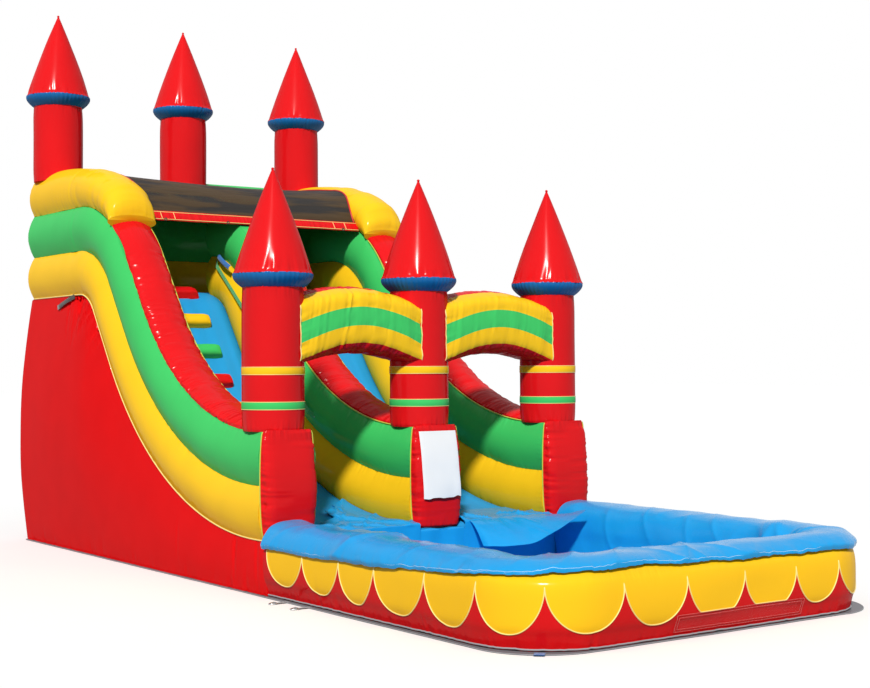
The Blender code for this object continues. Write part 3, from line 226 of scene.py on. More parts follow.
def puckers(along: Array, gap: Array, pitch: float, depth: float, reach: float, seed: int) -> Array:
    """Return how far cloth draws in where a seam gathers it.

    Args:
        along: Distance along the seam.
        gap: Distance from the seam.
        pitch: Usual distance between two creases.
        depth: How deep the deepest crease is.
        reach: How far from the seam the creases run.
        seed: Which random table to take.

    Returns:
        Heights at or under zero, one for each place.
    """
    gap = np.maximum(gap, 0.0)
    slant = along + 0.25 * gap * cloth_noise(along / (4 * pitch), 0.5, seed + 3)
    crease = np.abs(cloth_noise(slant / pitch, 0.5, seed)) ** 1.3
    crease = 0.75 * crease + 0.45 * np.abs(cloth_noise(slant / (0.45 * pitch), 0.5, seed + 1))
    length = reach * (0.65 + 0.45 * cloth_noise(along / (1.6 * pitch), 0.5, seed + 2))
    return -depth * crease * np.exp(-((gap / np.maximum(length, reach / 6)) ** 1.4))


def curve_through(controls: Array, count: int, closed: bool = False) -> Array:
    """Draw a smooth line through control points.

    Args:
        controls: Control points along the next to last axis.
        count: How many points to return.
        closed: Whether the last point leads back to the first.

    Returns:
        The points, evenly shared between the controls.
    """
    total = controls.shape[-2]
    spans = total if closed else total - 1
    where = np.linspace(0, spans, count, endpoint=not closed)
    base = np.minimum(where.astype(int), spans - 1)
    t = (where - base)[:, None]

    before, near, far, after = (
        controls[..., index % total if closed else np.clip(index, 0, total - 1), :]
        for index in (base - 1, base, base + 1, base + 2)
    )
    bend = 2 * before - 5 * near + 4 * far - after
    twist = 3 * near - before - 3 * far + after
    return near + 0.5 * ((far - before) * t + bend * t**2 + twist * t**3)


@dataclass(frozen=True)
class RunLine:
    """The seam where the beds meet the walls, in side view."""

    foot_y: float = -0.33
    foot_z: float = 0.42
    hollow_y: float = -0.055
    hollow_radius: float = 3.50
    slope: float = math.radians(53.6)
    slope_length: float = 0.637
    crest_radius: float = 0.411

    @property
    def at_hollow(self) -> float:
        """Distance at which the level foot ends."""
        return self.hollow_y - self.foot_y

    @property
    def at_slope(self) -> float:
        """Distance at which the hollow ends."""
        return self.at_hollow + self.hollow_radius * self.slope

    @property
    def at_crest(self) -> float:
        """Distance at which the straight slope ends."""
        return self.at_slope + self.slope_length

    @property
    def at_deck(self) -> float:
        """Distance at which the platform's level begins."""
        return self.at_crest + self.crest_radius * self.slope

    @property
    def at_rear(self) -> float:
        """Distance of the back wall's rear face."""
        return self.at_deck + REAR_Y - float(self.frame_at(self.at_deck)[0])

    def frame_at(self, distance: Array | float) -> tuple[Array, Array, Array, Array]:
        """Return the line's place and its normal.

        Args:
            distance: Distances along the line.

        Returns:
            y, z, and the y and z of the normal, one of each for each distance.
        """
        d = np.asarray(distance, float)
        turn = np.clip((d - self.at_hollow) / self.hollow_radius, 0, self.slope)
        far = np.clip(d - self.at_slope, 0, self.slope_length)
        over = np.clip((d - self.at_crest) / self.crest_radius, 0, self.slope)
        y = self.hollow_y + np.minimum(d - self.at_hollow, 0) + self.hollow_radius * np.sin(turn)
        y = y + far * math.cos(self.slope) + np.maximum(d - self.at_deck, 0)
        y = y + self.crest_radius * (math.sin(self.slope) - np.sin(self.slope - over))
        z = self.foot_z + self.hollow_radius * (1 - np.cos(turn)) + far * math.sin(self.slope)
        z = z + self.crest_radius * (np.cos(self.slope - over) - math.cos(self.slope))
        angle = turn - over
        return y, z, -np.sin(angle), np.cos(angle)

    def place(self, distance: Array | float, height: Array | float, x: Array | float) -> Array:
        """Return points at a distance along the line and a height square to it.

        Args:
            distance: Distances along the line.
            height: Heights over it.
            x: How far to the right.

        Returns:
            The points, with the arguments broadcast together.
        """
        y, z, normal_y, normal_z = self.frame_at(distance)
        return grid_of(x, y + normal_y * height, z + normal_z * height)

    def level_at(self, y: float) -> float:
        """Return the distance on the platform's level where the line is at this y."""
        return self.at_rear - (REAR_Y - y)


RUN = RunLine()
WALL_FRONT = 0.11
TUBE_START = RUN.at_crest + RUN.crest_radius * RUN.slope * 0.33
SEAM_STRETCH = (RUN.crest_radius + TOP_SEAM) / RUN.crest_radius
DECK_Z = float(RUN.frame_at(RUN.at_deck)[1])


def normals_of(points: Array, ring: bool) -> Array:
    """Return the unit normals of a grid of points.

    Args:
        points: Rows, columns and 3.
        ring: Whether each row closes on itself.

    Returns:
        One normal for each point.
    """
    along = np.gradient(points, axis=0)
    if ring:
        across = np.roll(points, -1, 1) - np.roll(points, 1, 1)
    else:
        across = np.gradient(points, axis=1)
    normal = np.cross(along, across)
    return normal / np.maximum(np.linalg.norm(normal, axis=2, keepdims=True), 1e-12)


def pushed(
    points: Array, amount: Array | float, ring: bool, facing: Sequence[float] | None = None
) -> Array:
    """Move a grid's points along its normals.

    Args:
        points: Rows, columns and 3.
        amount: How far, outwards.
        ring: Whether each row closes on itself.
        facing: For an open sheet, the side that counts as out.

    Returns:
        The moved points.
    """
    normal = normals_of(points, ring)
    out = points - points.mean(axis=1, keepdims=True) if facing is None else np.array(facing)
    sign = 1.0 if float((normal * out).sum()) > 0 else -1.0
    return points + normal * sign * np.broadcast_to(amount, points.shape[:2])[..., None]


def running(points: Array, axis: int) -> Array:
    """Return distances along one axis of a grid, averaged over the other."""
    steps = np.linalg.norm(np.diff(points, axis=axis), axis=2).mean(axis=1 - axis)
    return np.concatenate([[0.0], np.cumsum(steps)])


@dataclass
class Piece:
    """One piece in the making: skins collected into a single mesh.

    Attributes:
        name: What the piece is called.
    """

    name: str
    vertices: list[Array] = field(default_factory=list)
    faces: list[tuple[int, ...]] = field(default_factory=list)
    corners: list[tuple[float, float]] = field(default_factory=list)
    slots: list[int] = field(default_factory=list)
    gaps: dict[str, list[Array]] = field(
        default_factory=lambda: {"side_gap": [], "end_gap": [], "pattern": []}
    )
    count: int = 0

    def skin(
        self,
        points: Array,
        ring: bool = True,
        ends: tuple[bool, bool] = (True, True),
        facing: Sequence[float] | None = None,
        slot: int | Array = 0,
        **gaps: Array | float,
    ) -> "Piece":
        """Add a grid of points as one skin.

        Args:
            points: Rows, columns and 3.
            ring: Whether each row closes on itself.
            ends: Whether the first and the last ring are closed by a fan.
            facing: For an open sheet, the side that its faces look to.
            slot: The finish, one for all or one for each column of faces.
            gaps: Distances to seams or pattern lines, as side_gap, end_gap and pattern.

        Returns:
            The piece itself.
        """
        rows, columns = points.shape[:2]
        normal = normals_of(points, ring)
        out = points - points.mean(axis=1, keepdims=True) if facing is None else np.array(facing)
        flip = float((normal * out).sum()) > 0
        u, v = running(points, 0), running(points, 1)
        wrap = v[-1] + float(np.linalg.norm(points[:, 0] - points[:, -1], axis=1).mean())
        v = np.append(v, wrap)
        spans = columns if ring else columns - 1
        chosen = np.broadcast_to(slot, (spans,))
        self.vertices.append(points.reshape(-1, 3))
        for key, kept in self.gaps.items():
            kept.append(np.broadcast_to(gaps.get(key, FAR), (rows, columns)).reshape(-1))
        for i in range(rows - 1):
            for j in range(spans):
                k = (j + 1) % columns
                low, high = self.count + i * columns, self.count + (i + 1) * columns
                face = (low + j, low + k, high + k, high + j)
                uv = ((u[i], v[j]), (u[i], v[j + 1]), (u[i + 1], v[j + 1]), (u[i + 1], v[j]))
                self.face(face, uv, int(chosen[j]), flip)
        base = self.count
        self.count += rows * columns
        for wanted, row, turn in ((ends[0], 0, not flip), (ends[1], rows - 1, flip)):
            if ring and wanted:
                self.close_end(points[row], base + row * columns, u[row], turn, int(chosen[0]))
        return self

    def face(
        self, face: tuple[int, ...], uv: tuple[tuple[float, float], ...], slot: int, flip: bool
    ) -> None:
        """Add one face, turned over if its grid looks inwards."""
        self.faces.append(face[::-1] if flip else face)
        self.corners.extend(uv[::-1] if flip else uv)
        self.slots.append(slot)

    def close_end(self, ring: Array, base: int, u: float, flip: bool, slot: int) -> None:
        """Close a ring by a fan to its middle."""
        middle = ring.mean(axis=0)
        self.vertices.append(middle[None])
        for kept in self.gaps.values():
            kept.append(np.array([FAR]))
        size = float(np.linalg.norm(ring - middle, axis=1).mean())
        for j in range(len(ring)):
            k = (j + 1) % len(ring)
            share = 0.1 * j
            uv = ((u, share), (u, share + 0.1), (u + size, share))
            self.face((base + j, base + k, self.count), uv, slot, flip)
        self.count += 1

    def finish(
        self, *finishes: bpy.types.Material, crease: float = 60.0, thick: float = 0.0
    ) -> bpy.types.Object:
        """Make the collected skins one object.

        Args:
            finishes: The materials, in the order of the slots.
            crease: Faces that meet at more than this angle, in degrees, keep a sharp edge.
            thick: A thickness to give an open sheet, on the side its faces look to.

        Returns:
            The object, linked to the scene.
        """
        mesh = bpy.data.meshes.new(self.name)
        mesh.from_pydata(np.concatenate(self.vertices).tolist(), [], self.faces)
        mesh.polygons.foreach_set("material_index", self.slots)
        layer = mesh.uv_layers.new(name="metres")
        layer.data.foreach_set("uv", np.array(self.corners, np.float32).reshape(-1))
        for key, kept in self.gaps.items():
            mesh.attributes.new(key, "FLOAT", "POINT").data.foreach_set(
                "value", np.concatenate(kept).astype(np.float32)
            )
        for finish in finishes:
            mesh.materials.append(finish)
        mesh.validate()
        mesh.shade_smooth()
        made = bpy.data.objects.new(self.name, mesh)
        bpy.context.scene.collection.objects.link(made)
        if thick:
            skin = made.modifiers.new("cloth thickness", "SOLIDIFY")
            skin.thickness, skin.offset, skin.use_even_offset = thick, 1.0, False
            settled(made)
        made.data.set_sharp_from_angle(angle=math.radians(crease))
        return made


def settled(piece: bpy.types.Object) -> bpy.types.Object:
    """Turn a piece with modifiers into a plain mesh."""
    bpy.context.view_layer.update()
    shape = piece.evaluated_get(bpy.context.evaluated_depsgraph_get())
    mesh = bpy.data.meshes.new_from_object(shape)
    piece.modifiers.clear()
    piece.data = mesh
    return piece


def turned(radii: Array, heights: Array, middle: Sequence[float], sides: int) -> Array:
    """Return the grid of a shape turned about a vertical line.

    Args:
        radii: Radius of each ring, or of each point of each ring.
        heights: Height of each ring.
        middle: x and y of the line.
        sides: How many points a ring has.

    Returns:
        Rows, columns and 3.
    """
    angles = full_turn(sides)
    radii = np.broadcast_to(
        radii if np.ndim(radii) == 2 else np.reshape(radii, (-1, 1)), (len(heights), sides)
    )
    x = middle[0] + radii * np.cos(angles)
    y = middle[1] + radii * np.sin(angles)
    return np.stack([x, y, np.broadcast_to(np.reshape(heights, (-1, 1)), x.shape)], -1)


def swept(
    path: Array, radius: float, sides: int = 10, closed: bool = False, squash: float = 1.0
) -> Array:
    """Return the grid of a rod along a path.

    Args:
        path: Points of the middle line.
        radius: The rod's radius.
        sides: How many points a ring has.
        closed: Whether the path closes on itself.
        squash: Thickness as a share of the width.

    Returns:
        Rows, columns and 3; a closed path repeats its first ring at the end.
    """
    if closed:
        path = np.concatenate([path[-1:], path, path[:2]])
    run = np.gradient(path, axis=0)
    run /= np.linalg.norm(run, axis=1, keepdims=True)
    side = np.cross(run, np.where(np.abs(run[:, 2:]) > 0.9, [[0.0, 1.0, 0.0]], [[0.0, 0.0, 1.0]]))
    side /= np.linalg.norm(side, axis=1, keepdims=True)
    up = np.cross(side, run)
    angles = full_turn(sides)
    ring = path[:, None] + radius * (
        np.cos(angles)[None, :, None] * side[:, None]
        + squash * np.sin(angles)[None, :, None] * up[:, None]
    )
    return ring[1:-1] if closed else ring


def off_joint(turn: Array, sharp: float) -> Array:
    """Return 0 where a turned piece closes on itself and 1 away from there."""
    return 1 - np.exp(-np.minimum(turn, 2 * math.pi - turn) * sharp)


def to_linear(code: str) -> tuple[float, float, float, float]:
    """Turn an sRGB hex code into a linear colour with full alpha."""
    channels = [int(code.lstrip("#")[i : i + 2], 16) / 255 for i in (0, 2, 4)]
    linear = [c / 12.92 if c <= 0.04045 else ((c + 0.055) / 1.055) ** 2.4 for c in channels]
    return (linear[0], linear[1], linear[2], 1.0)


def wire(node: bpy.types.Node, inputs: dict) -> None:
    """Link or set a node's inputs.

    Args:
        node: The node.
        inputs: For each input, by name or index, a value, a socket or a node's first output.
    """
    for key, value in inputs.items():
        value = value.outputs[0] if isinstance(value, bpy.types.Node) else value
        if isinstance(value, bpy.types.NodeSocket):
            node.id_data.links.new(value, node.inputs[key])
        else:
            node.inputs[key].default_value = value


def add_node(
    tree: bpy.types.NodeTree, kind: str, inputs: dict | None = None, **settings: object
) -> bpy.types.Node:
    """Add one node with its settings, and link or set its inputs.

    Args:
        tree: The tree that takes the node.
        kind: The node's type name.
        inputs: As for wire.
        settings: The node's own settings.

    Returns:
        The node.
    """
    made = tree.nodes.new(kind)
    for name, value in settings.items():
        setattr(made, name, value)
    wire(made, inputs or {})
    return made


def sum_of(tree: bpy.types.NodeTree, *terms: object) -> object:
    """Add up sockets or nodes' first outputs and return the result."""
    total = terms[0]
    for term in terms[1:]:
        total = add_node(tree, "ShaderNodeMath", {0: total, 1: term}, operation="ADD")
    return total


def new_material(name: str) -> tuple[bpy.types.Material, bpy.types.NodeTree, bpy.types.Node]:
    """Make a material and return it with its tree and its main shader."""
    made = bpy.data.materials.new(name)
    made.use_nodes = True
    return made, made.node_tree, made.node_tree.nodes["Principled BSDF"]


def toned(colour: tuple, share: float) -> tuple:
    """Return a linear colour made darker or paler by a share."""
    return tuple(share * channel for channel in colour[:3]) + (1.0,)


@dataclass(frozen=True)
class Vinyl:
    """PVC film on a woven scrim: bright, half glossy, gathered along its seams.

    Attributes:
        name: What the real cloth is.
        colour: Its sRGB colour.
        roughness: How dull its shine is.
        crease_mm: Depth of the fine creases at the seams.
        crease_reach: How far those run from the seam, in metres.
        slack_mm: Depth of the soft waves over the whole panel.
        second: The other colour of a panel with a sewn-on pattern.
        shine: How strongly the film itself mirrors; 0.5 is a full plastic mirror.
        gloss: Weight of the glossy skin.
    """

    name: str
    colour: str
    roughness: float = 0.32
    crease_mm: float = 4.0
    crease_reach: float = 0.10
    slack_mm: float = 2.0
    second: str | None = None
    shine: float = 0.0
    gloss: float = 0.22

    def gathered(
        self,
        tree: bpy.types.NodeTree,
        uv: bpy.types.Node,
        gap: str,
        cell: tuple[float, float],
    ) -> bpy.types.Node:
        """Return the height of the fine creases beside one kind of seam.

        Args:
            tree: The material's tree.
            uv: The cloth's own coordinates in metres.
            gap: The attribute that holds the distance to the seam.
            cell: How long a crease cell is each way, in metres.

        Returns:
            A node that gives the height in metres.
        """
        scale = (1 / cell[0], 1 / cell[1], 1)
        stretched = add_node(tree, "ShaderNodeMapping", {"Vector": uv, "Scale": scale})
        creases = add_node(
            tree,
            "ShaderNodeTexNoise",
            {"Vector": stretched, "Scale": 1.0, "Detail": 1.5, "Roughness": 0.45},
            noise_dimensions="2D",
        )
        away = add_node(tree, "ShaderNodeAttribute", attribute_name=gap).outputs["Fac"]
        deep = {"To Min": self.crease_mm * MM, "To Max": 0.0}
        near = add_node(
            tree,
            "ShaderNodeMapRange",
            {"Value": away, "From Max": self.crease_reach, **deep},
            interpolation_type="SMOOTHSTEP",
        )
        return add_node(tree, "ShaderNodeMath", {0: creases, 1: near}, operation="MULTIPLY")

    def build(self) -> bpy.types.Material:
        """Build the material and return it."""
        made, tree, shader = new_material(self.name)
        uv = add_node(tree, "ShaderNodeUVMap", uv_map="metres")
        room = add_node(tree, "ShaderNodeTexCoord").outputs["Object"]
        # Fine creases of 45 mm pitch beside the seams catch short bright glints
        side = self.gathered(tree, uv, "side_gap", CREASE_CELL)
        end = self.gathered(tree, uv, "end_gap", CREASE_CELL[::-1])
        # Slack of about 0.3 m cells keeps the broad sheen from looking moulded
        slack = add_node(
            tree,
            "ShaderNodeTexNoise",
            {"Vector": room, "Scale": 3.4, "Detail": 2.0, "Roughness": 0.4},
        )
        height = [side, end]
        factors = [(slack.outputs[0], 2 * self.slack_mm * MM)]
        # The scrim's threads, 1.1 mm apart, show through the film from close by
        for direction in ("X", "Y"):
            wave = add_node(
                tree,
                "ShaderNodeTexWave",
                {"Vector": uv, "Scale": THREADS_SCALE},
                bands_direction=direction,
            )
            factors.append((wave.outputs[1], THREAD_MM * MM))
        for socket, depth in factors:
            times = add_node(tree, "ShaderNodeMath", {0: socket, 1: depth}, operation="MULTIPLY")
            height.append(times)
        bumps = {"Height": sum_of(tree, *height), "Distance": 1.0, "Strength": 1.0}
        # Handling and rain leave the film a little duller in patches of 0.2 m
        rubbed = add_node(tree, "ShaderNodeTexNoise", {"Vector": room, "Scale": 5.0, "Detail": 4.0})
        span = {"To Min": self.roughness - 0.05, "To Max": self.roughness + 0.07}
        dull = {"Value": rubbed, "From Min": 0.3, "From Max": 0.7, **span}
        # No mirror but a thin glossy skin: creases glint and the colour stays deep
        wire(
            shader,
            {
                "Normal": add_node(tree, "ShaderNodeBump", bumps),
                "Roughness": add_node(tree, "ShaderNodeMapRange", dull),
                "Specular IOR Level": self.shine,
                "Coat Weight": self.gloss,
                "Coat Roughness": 0.17,
                "Base Color": self.shade(tree, slack),
            },
        )
        return made

    def shade(self, tree: bpy.types.NodeTree, patches: bpy.types.Node) -> bpy.types.NodeSocket:
        """Return the film's colour, a touch uneven as printed rolls are."""
        base = to_linear(self.colour)
        tones = {0: patches, 6: toned(base, 0.93), 7: toned(base, 1.05)}
        plain = add_node(tree, "ShaderNodeMix", tones, data_type="RGBA").outputs[2]
        if self.second is None:
            return plain
        # The scallops' edge is cut sharp, within 2 mm
        inside = add_node(tree, "ShaderNodeAttribute", attribute_name="pattern").outputs["Fac"]
        cut = {"Value": inside, "From Min": -0.001, "From Max": 0.001}
        sewn = add_node(tree, "ShaderNodeMapRange", cut)
        both = {0: sewn, 6: plain, 7: to_linear(self.second)}
        return add_node(tree, "ShaderNodeMix", both, data_type="RGBA").outputs[2]


@dataclass(frozen=True)
class Webbing:
    """Woven tape: ribs 2.2 mm apart across it, dull, a little fuzzy.

    Attributes:
        name: What the real tape is.
        colour: Its sRGB colour.
        rib_mm: Distance between two ribs.
    """

    name: str
    colour: str
    rib_mm: float = 2.2

    def build(self) -> bpy.types.Material:
        """Build the material and return it."""
        made, tree, shader = new_material(self.name)
        uv = add_node(tree, "ShaderNodeUVMap", uv_map="metres")
        across = {"Vector": uv, "Scale": 314.0 / self.rib_mm, "Distortion": 0.4}
        ribs = add_node(tree, "ShaderNodeTexWave", across, bands_direction="X").outputs[1]
        along = {"Vector": uv, "Scale": 520.0 / self.rib_mm}
        threads = add_node(tree, "ShaderNodeTexWave", along, bands_direction="Y").outputs[1]
        # Ribs cast a fine shade that darkens the tape between them
        base = to_linear(self.colour)
        tones = {0: ribs, 6: toned(base, 0.55), 7: base}
        bumps = {"Height": sum_of(tree, ribs, threads), "Distance": 0.0004}
        wire(
            shader,
            {
                "Base Color": add_node(tree, "ShaderNodeMix", tones, data_type="RGBA").outputs[2],
                "Normal": add_node(tree, "ShaderNodeBump", bumps),
                "Roughness": 0.7,
                "Sheen Weight": 0.25,
            },
        )
        return made


@dataclass(frozen=True)
class PlainTrim:
    """A narrow trim such as piping or thread, with its colour a little uneven.

    Attributes:
        name: What the real trim is.
        colour: Its sRGB colour.
        roughness: How dull its shine is.
        metallic: 1 for metal.
        grain: Cells of unevenness in a metre.
    """

    name: str
    colour: str
    roughness: float = 0.4
    metallic: float = 0.0
    grain: float = 90.0

    def build(self) -> bpy.types.Material:
        """Build the material and return it."""
        made, tree, shader = new_material(self.name)
        room = add_node(tree, "ShaderNodeTexCoord").outputs["Object"]
        # Small dents and worn spots break up the shine along its length
        cells = {"Vector": room, "Scale": self.grain, "Detail": 3.0}
        spots = add_node(tree, "ShaderNodeTexNoise", cells)
        base = to_linear(self.colour)
        tones = {0: spots, 6: toned(base, 0.82), 7: base}
        dull = {"Value": spots, "To Min": self.roughness - 0.08, "To Max": self.roughness + 0.12}
        dents = {"Height": spots, "Distance": 0.0004}
        wire(
            shader,
            {
                "Base Color": add_node(tree, "ShaderNodeMix", tones, data_type="RGBA").outputs[2],
                "Roughness": add_node(tree, "ShaderNodeMapRange", dull),
                "Normal": add_node(tree, "ShaderNodeBump", dents),
                "Metallic": self.metallic,
            },
        )
        return made


@dataclass(frozen=True)
class OpenMesh:
    """Knitted shade net: dark threads round holes of 3 mm, so that light comes through.

    Attributes:
        name: What the real net is.
        colour: The threads' sRGB colour.
        painted_light: Painted light: the threads' lighter golden colour where sun would catch their
            folds and the net's front half.
        pitch_mm: Distance between two holes.
        hole_share: How much of a pitch a hole takes.
    """

    name: str
    colour: str
    painted_light: str = "#3B2A10"
    pitch_mm: float = 4.0
    hole_share: float = 0.22

    def build(self) -> bpy.types.Material:
        """Build the material and return it."""
        made, tree, shader = new_material(self.name)
        uv = add_node(tree, "ShaderNodeUVMap", uv_map="metres")
        knots = {"Vector": uv, "Scale": 1 / (self.pitch_mm * MM), "Randomness": 0.25}
        cells = add_node(tree, "ShaderNodeTexVoronoi", knots, voronoi_dimensions="2D")
        reach = {0: cells.outputs["Distance"], 1: self.hole_share * 0.62}
        hole = add_node(tree, "ShaderNodeMath", reach, operation="LESS_THAN")
        # Long folds run across it where it hangs slack; painted golden-brown light lies along them
        # and over its front half, as sun would catch them
        slanted = {"Vector": uv, "Rotation": (0, 0, 0.25), "Scale": (9.0, 1.1, 1)}
        stretched = add_node(tree, "ShaderNodeMapping", slanted)
        long = {"Vector": stretched, "Scale": 1.0, "Detail": 3.0}
        folds = add_node(tree, "ShaderNodeTexNoise", long, noise_dimensions="2D")
        away = add_node(tree, "ShaderNodeAttribute", attribute_name="side_gap").outputs["Fac"]
        # Painted light: more of the golden colour within 0.3 m of the front edge, less beyond 0.75
        # m
        fade = {"Value": away, "From Min": 0.30, "From Max": 0.75, "To Min": 0.14, "To Max": -0.12}
        lit = sum_of(tree, folds, add_node(tree, "ShaderNodeMapRange", fade))
        narrow = {"Value": lit, "From Min": 0.53, "From Max": 0.66}
        tone = add_node(tree, "ShaderNodeMapRange", narrow)
        tones = {0: tone, 6: to_linear(self.colour), 7: to_linear(self.painted_light)}
        bumps = {"Height": folds, "Distance": 0.02}
        wire(
            shader,
            {
                "Base Color": add_node(tree, "ShaderNodeMix", tones, data_type="RGBA").outputs[2],
                "Normal": add_node(tree, "ShaderNodeBump", bumps),
                "Roughness": 0.75,
            },
        )
        clear = add_node(tree, "ShaderNodeBsdfTransparent")
        mixed = add_node(tree, "ShaderNodeMixShader", {0: hole, 1: shader, 2: clear})
        wire(tree.nodes["Material Output"], {"Surface": mixed})
        return made


@dataclass(frozen=True)
class ClearFilm:
    """Clear vinyl of a pocket: what lies behind shows, with a thin milky veil and hard glints.

    Attributes:
        name: What the real film is.
        veil: How much of the film is milky.
    """

    name: str
    veil: float = 0.008

    def build(self) -> bpy.types.Material:
        """Build the material and return it."""
        made, tree, shader = new_material(self.name)
        room = add_node(tree, "ShaderNodeTexCoord").outputs["Object"]
        cells = {"Vector": room, "Scale": 9.0, "Detail": 2.0}
        ripples = {"Height": add_node(tree, "ShaderNodeTexNoise", cells), "Distance": 0.01}
        wire(
            shader,
            {
                "Normal": add_node(tree, "ShaderNodeBump", ripples),
                "Base Color": to_linear("#F2F4F6"),
                "Roughness": 0.12,
                "Specular IOR Level": 0.3,
            },
        )
        clear = add_node(tree, "ShaderNodeBsdfTransparent")
        mixed = add_node(tree, "ShaderNodeMixShader", {0: self.veil, 1: clear, 2: shader})
        wire(tree.nodes["Material Output"], {"Surface": mixed})
        return made


class Body(Enum):
    """The moving bodies that dressed pieces ride on."""

    SLIDE = "slide"
    FLAP = "flap"
    RING_LEFT_FRONT = "ring_left_front"
    RING_LEFT_POOL = "ring_left_pool"
    RING_RIGHT_FRONT = "ring_right_front"
    RING_RIGHT_POOL = "ring_right_pool"
    RING_REAR_LEFT = "ring_rear_left"
    RING_REAR_RIGHT = "ring_rear_right"


class Trim(Enum):
    """The narrow trims that follow a seam."""

    PALE_PIPING = "pale_piping"
    LIME_PIPING = "lime_piping"
    RED_PIPING = "red_piping"
    STITCHES = "pale_stitches"
    SHEET_EDGE = "ground_sheet_edge"
    WELD = "pocket_weld"


class Finishes:
    """Every finish of the slide, each built once."""

    def __init__(self) -> None:
        """Build the finishes."""
        self.red = Vinyl("Red inflatable vinyl", "#D51419", 0.28, 14.0, 0.13).build()
        # The big body is of a duller film, so its side doesn't mirror the pale surroundings
        self.body_red = Vinyl("Red body vinyl", "#D80B0F", 0.28, 14.0, 0.13, gloss=0.11).build()
        self.yellow = Vinyl("Yellow inflatable vinyl", "#F5C11E").build()
        self.green = Vinyl("Green inflatable vinyl", "#3FC163").build()
        self.bed_blue = Vinyl("Blue slide bed vinyl", "#2A96D6", 0.30, 1.5, 0.08, 3.0).build()
        self.liner_blue = Vinyl(
            "Blue pool liner vinyl", "#1A95D6", 0.26, 4.0, 0.12, 6.0, shine=0.06, gloss=0.22
        ).build()
        self.ring_blue = Vinyl("Deep blue turret vinyl", "#1763A0", 0.28, 2.0, 0.08, 1.5).build()
        self.scalloped = Vinyl(
            "Red pool vinyl with yellow scallops", "#CC1014", 0.30, 5.0, 0.12, 2.5, second="#F5BE1A"
        ).build()
        self.white = Vinyl("White sign vinyl", "#E9E8E6", 0.36, 1.5, 0.05, 2.5).build()
        self.sheet = Vinyl("Grey ground sheet fabric", "#77797E", 0.6, 2.0, 0.06, 2.5).build()
        self.net = OpenMesh("Dark shade net", "#120D0A").build()
        self.clear = ClearFilm("Clear pocket vinyl").build()
        self.green_web = Webbing("Green webbing", "#3FC96A").build()
        self.yellow_web = Webbing("Yellow band webbing", "#F2C233").build()
        self.blue_web = Webbing("Blue strap sleeve", "#2C78C8").build()
        self.black_web = Webbing("Black tie webbing", "#191715").build()
        self.grey_web = Webbing("Grey anchor webbing", "#8A8B8E").build()
        self.steel = PlainTrim("Zinc plated steel", "#C3C6CA", 0.28, 1.0, 160.0).build()
        self.trims = {
            Trim.PALE_PIPING: PlainTrim("Pale yellow piping", "#F6E08A").build(),
            Trim.LIME_PIPING: PlainTrim("Yellow green piping", "#C4CE4E").build(),
            Trim.RED_PIPING: PlainTrim("Red piping", "#C41418").build(),
            Trim.STITCHES: PlainTrim("Pale polyester thread", "#DCE8F0", 0.6).build(),
            Trim.SHEET_EDGE: PlainTrim("Grey sheet binding", "#9A9BA0", 0.6).build(),
            Trim.WELD: PlainTrim("Clear welded edge", "#D4605E", 0.25).build(),
        }


def trim_tree(stitched: bool) -> bpy.types.NodeTree:
    """Build the nodes that lay a round cord, or a row of small stitches, along paths.

    Args:
        stitched: Whether it is stitches.

    Returns:
        The tree, with inputs Radius, Pitch and Finish.
    """
    name = "Stitches along seams" if stitched else "Piping along seams"
    tree = bpy.data.node_groups.new(name, "GeometryNodeTree")
    kinds = {"Geometry": "Geometry", "Radius": "Float", "Pitch": "Float", "Finish": "Material"}
    for label, kind in kinds.items():
        tree.interface.new_socket(label, in_out="INPUT", socket_type=f"NodeSocket{kind}")
    tree.interface.new_socket("Geometry", in_out="OUTPUT", socket_type="NodeSocketGeometry")
    given = add_node(tree, "NodeGroupInput").outputs
    line = add_node(tree, "GeometryNodeMeshToCurve", {"Mesh": given["Geometry"]})
    apart = {"Curve": line, "Length": given["Pitch"]}
    if stitched:
        places = add_node(tree, "GeometryNodeCurveToPoints", apart, mode="LENGTH")
        tips = []
        for reach in (-STITCH_REACH, STITCH_REACH):
            long = {0: given["Pitch"], 1: reach}
            far = add_node(tree, "ShaderNodeMath", long, operation="MULTIPLY")
            tips.append(add_node(tree, "ShaderNodeCombineXYZ", {"Z": far}))
        ends = {"Start": tips[0], "End": tips[1]}
        path = add_node(tree, "GeometryNodeCurvePrimitiveLine", ends)
    else:
        path = add_node(tree, "GeometryNodeResampleCurve", apart, mode="LENGTH")
    edge = {"Resolution": 6 if stitched else 8, "Radius": given["Radius"]}
    around = add_node(tree, "GeometryNodeCurvePrimitiveCircle", edge)
    rod = {"Curve": path, "Profile Curve": around, "Fill Caps": True}
    laid = add_node(tree, "GeometryNodeCurveToMesh", rod)
    if stitched:
        turned_to = {"Instance": laid, "Rotation": places.outputs["Rotation"]}
        laid = add_node(tree, "GeometryNodeInstanceOnPoints", {"Points": places, **turned_to})
    else:
        laid = add_node(tree, "GeometryNodeSetShadeSmooth", {"Geometry": laid})
    plain = add_node(tree, "GeometryNodeRealizeInstances", {"Geometry": laid})
    skin = {"Geometry": plain, "Material": given["Finish"]}
    dressed = add_node(tree, "GeometryNodeSetMaterial", skin)
    add_node(tree, "NodeGroupOutput", {"Geometry": dressed})
    return tree


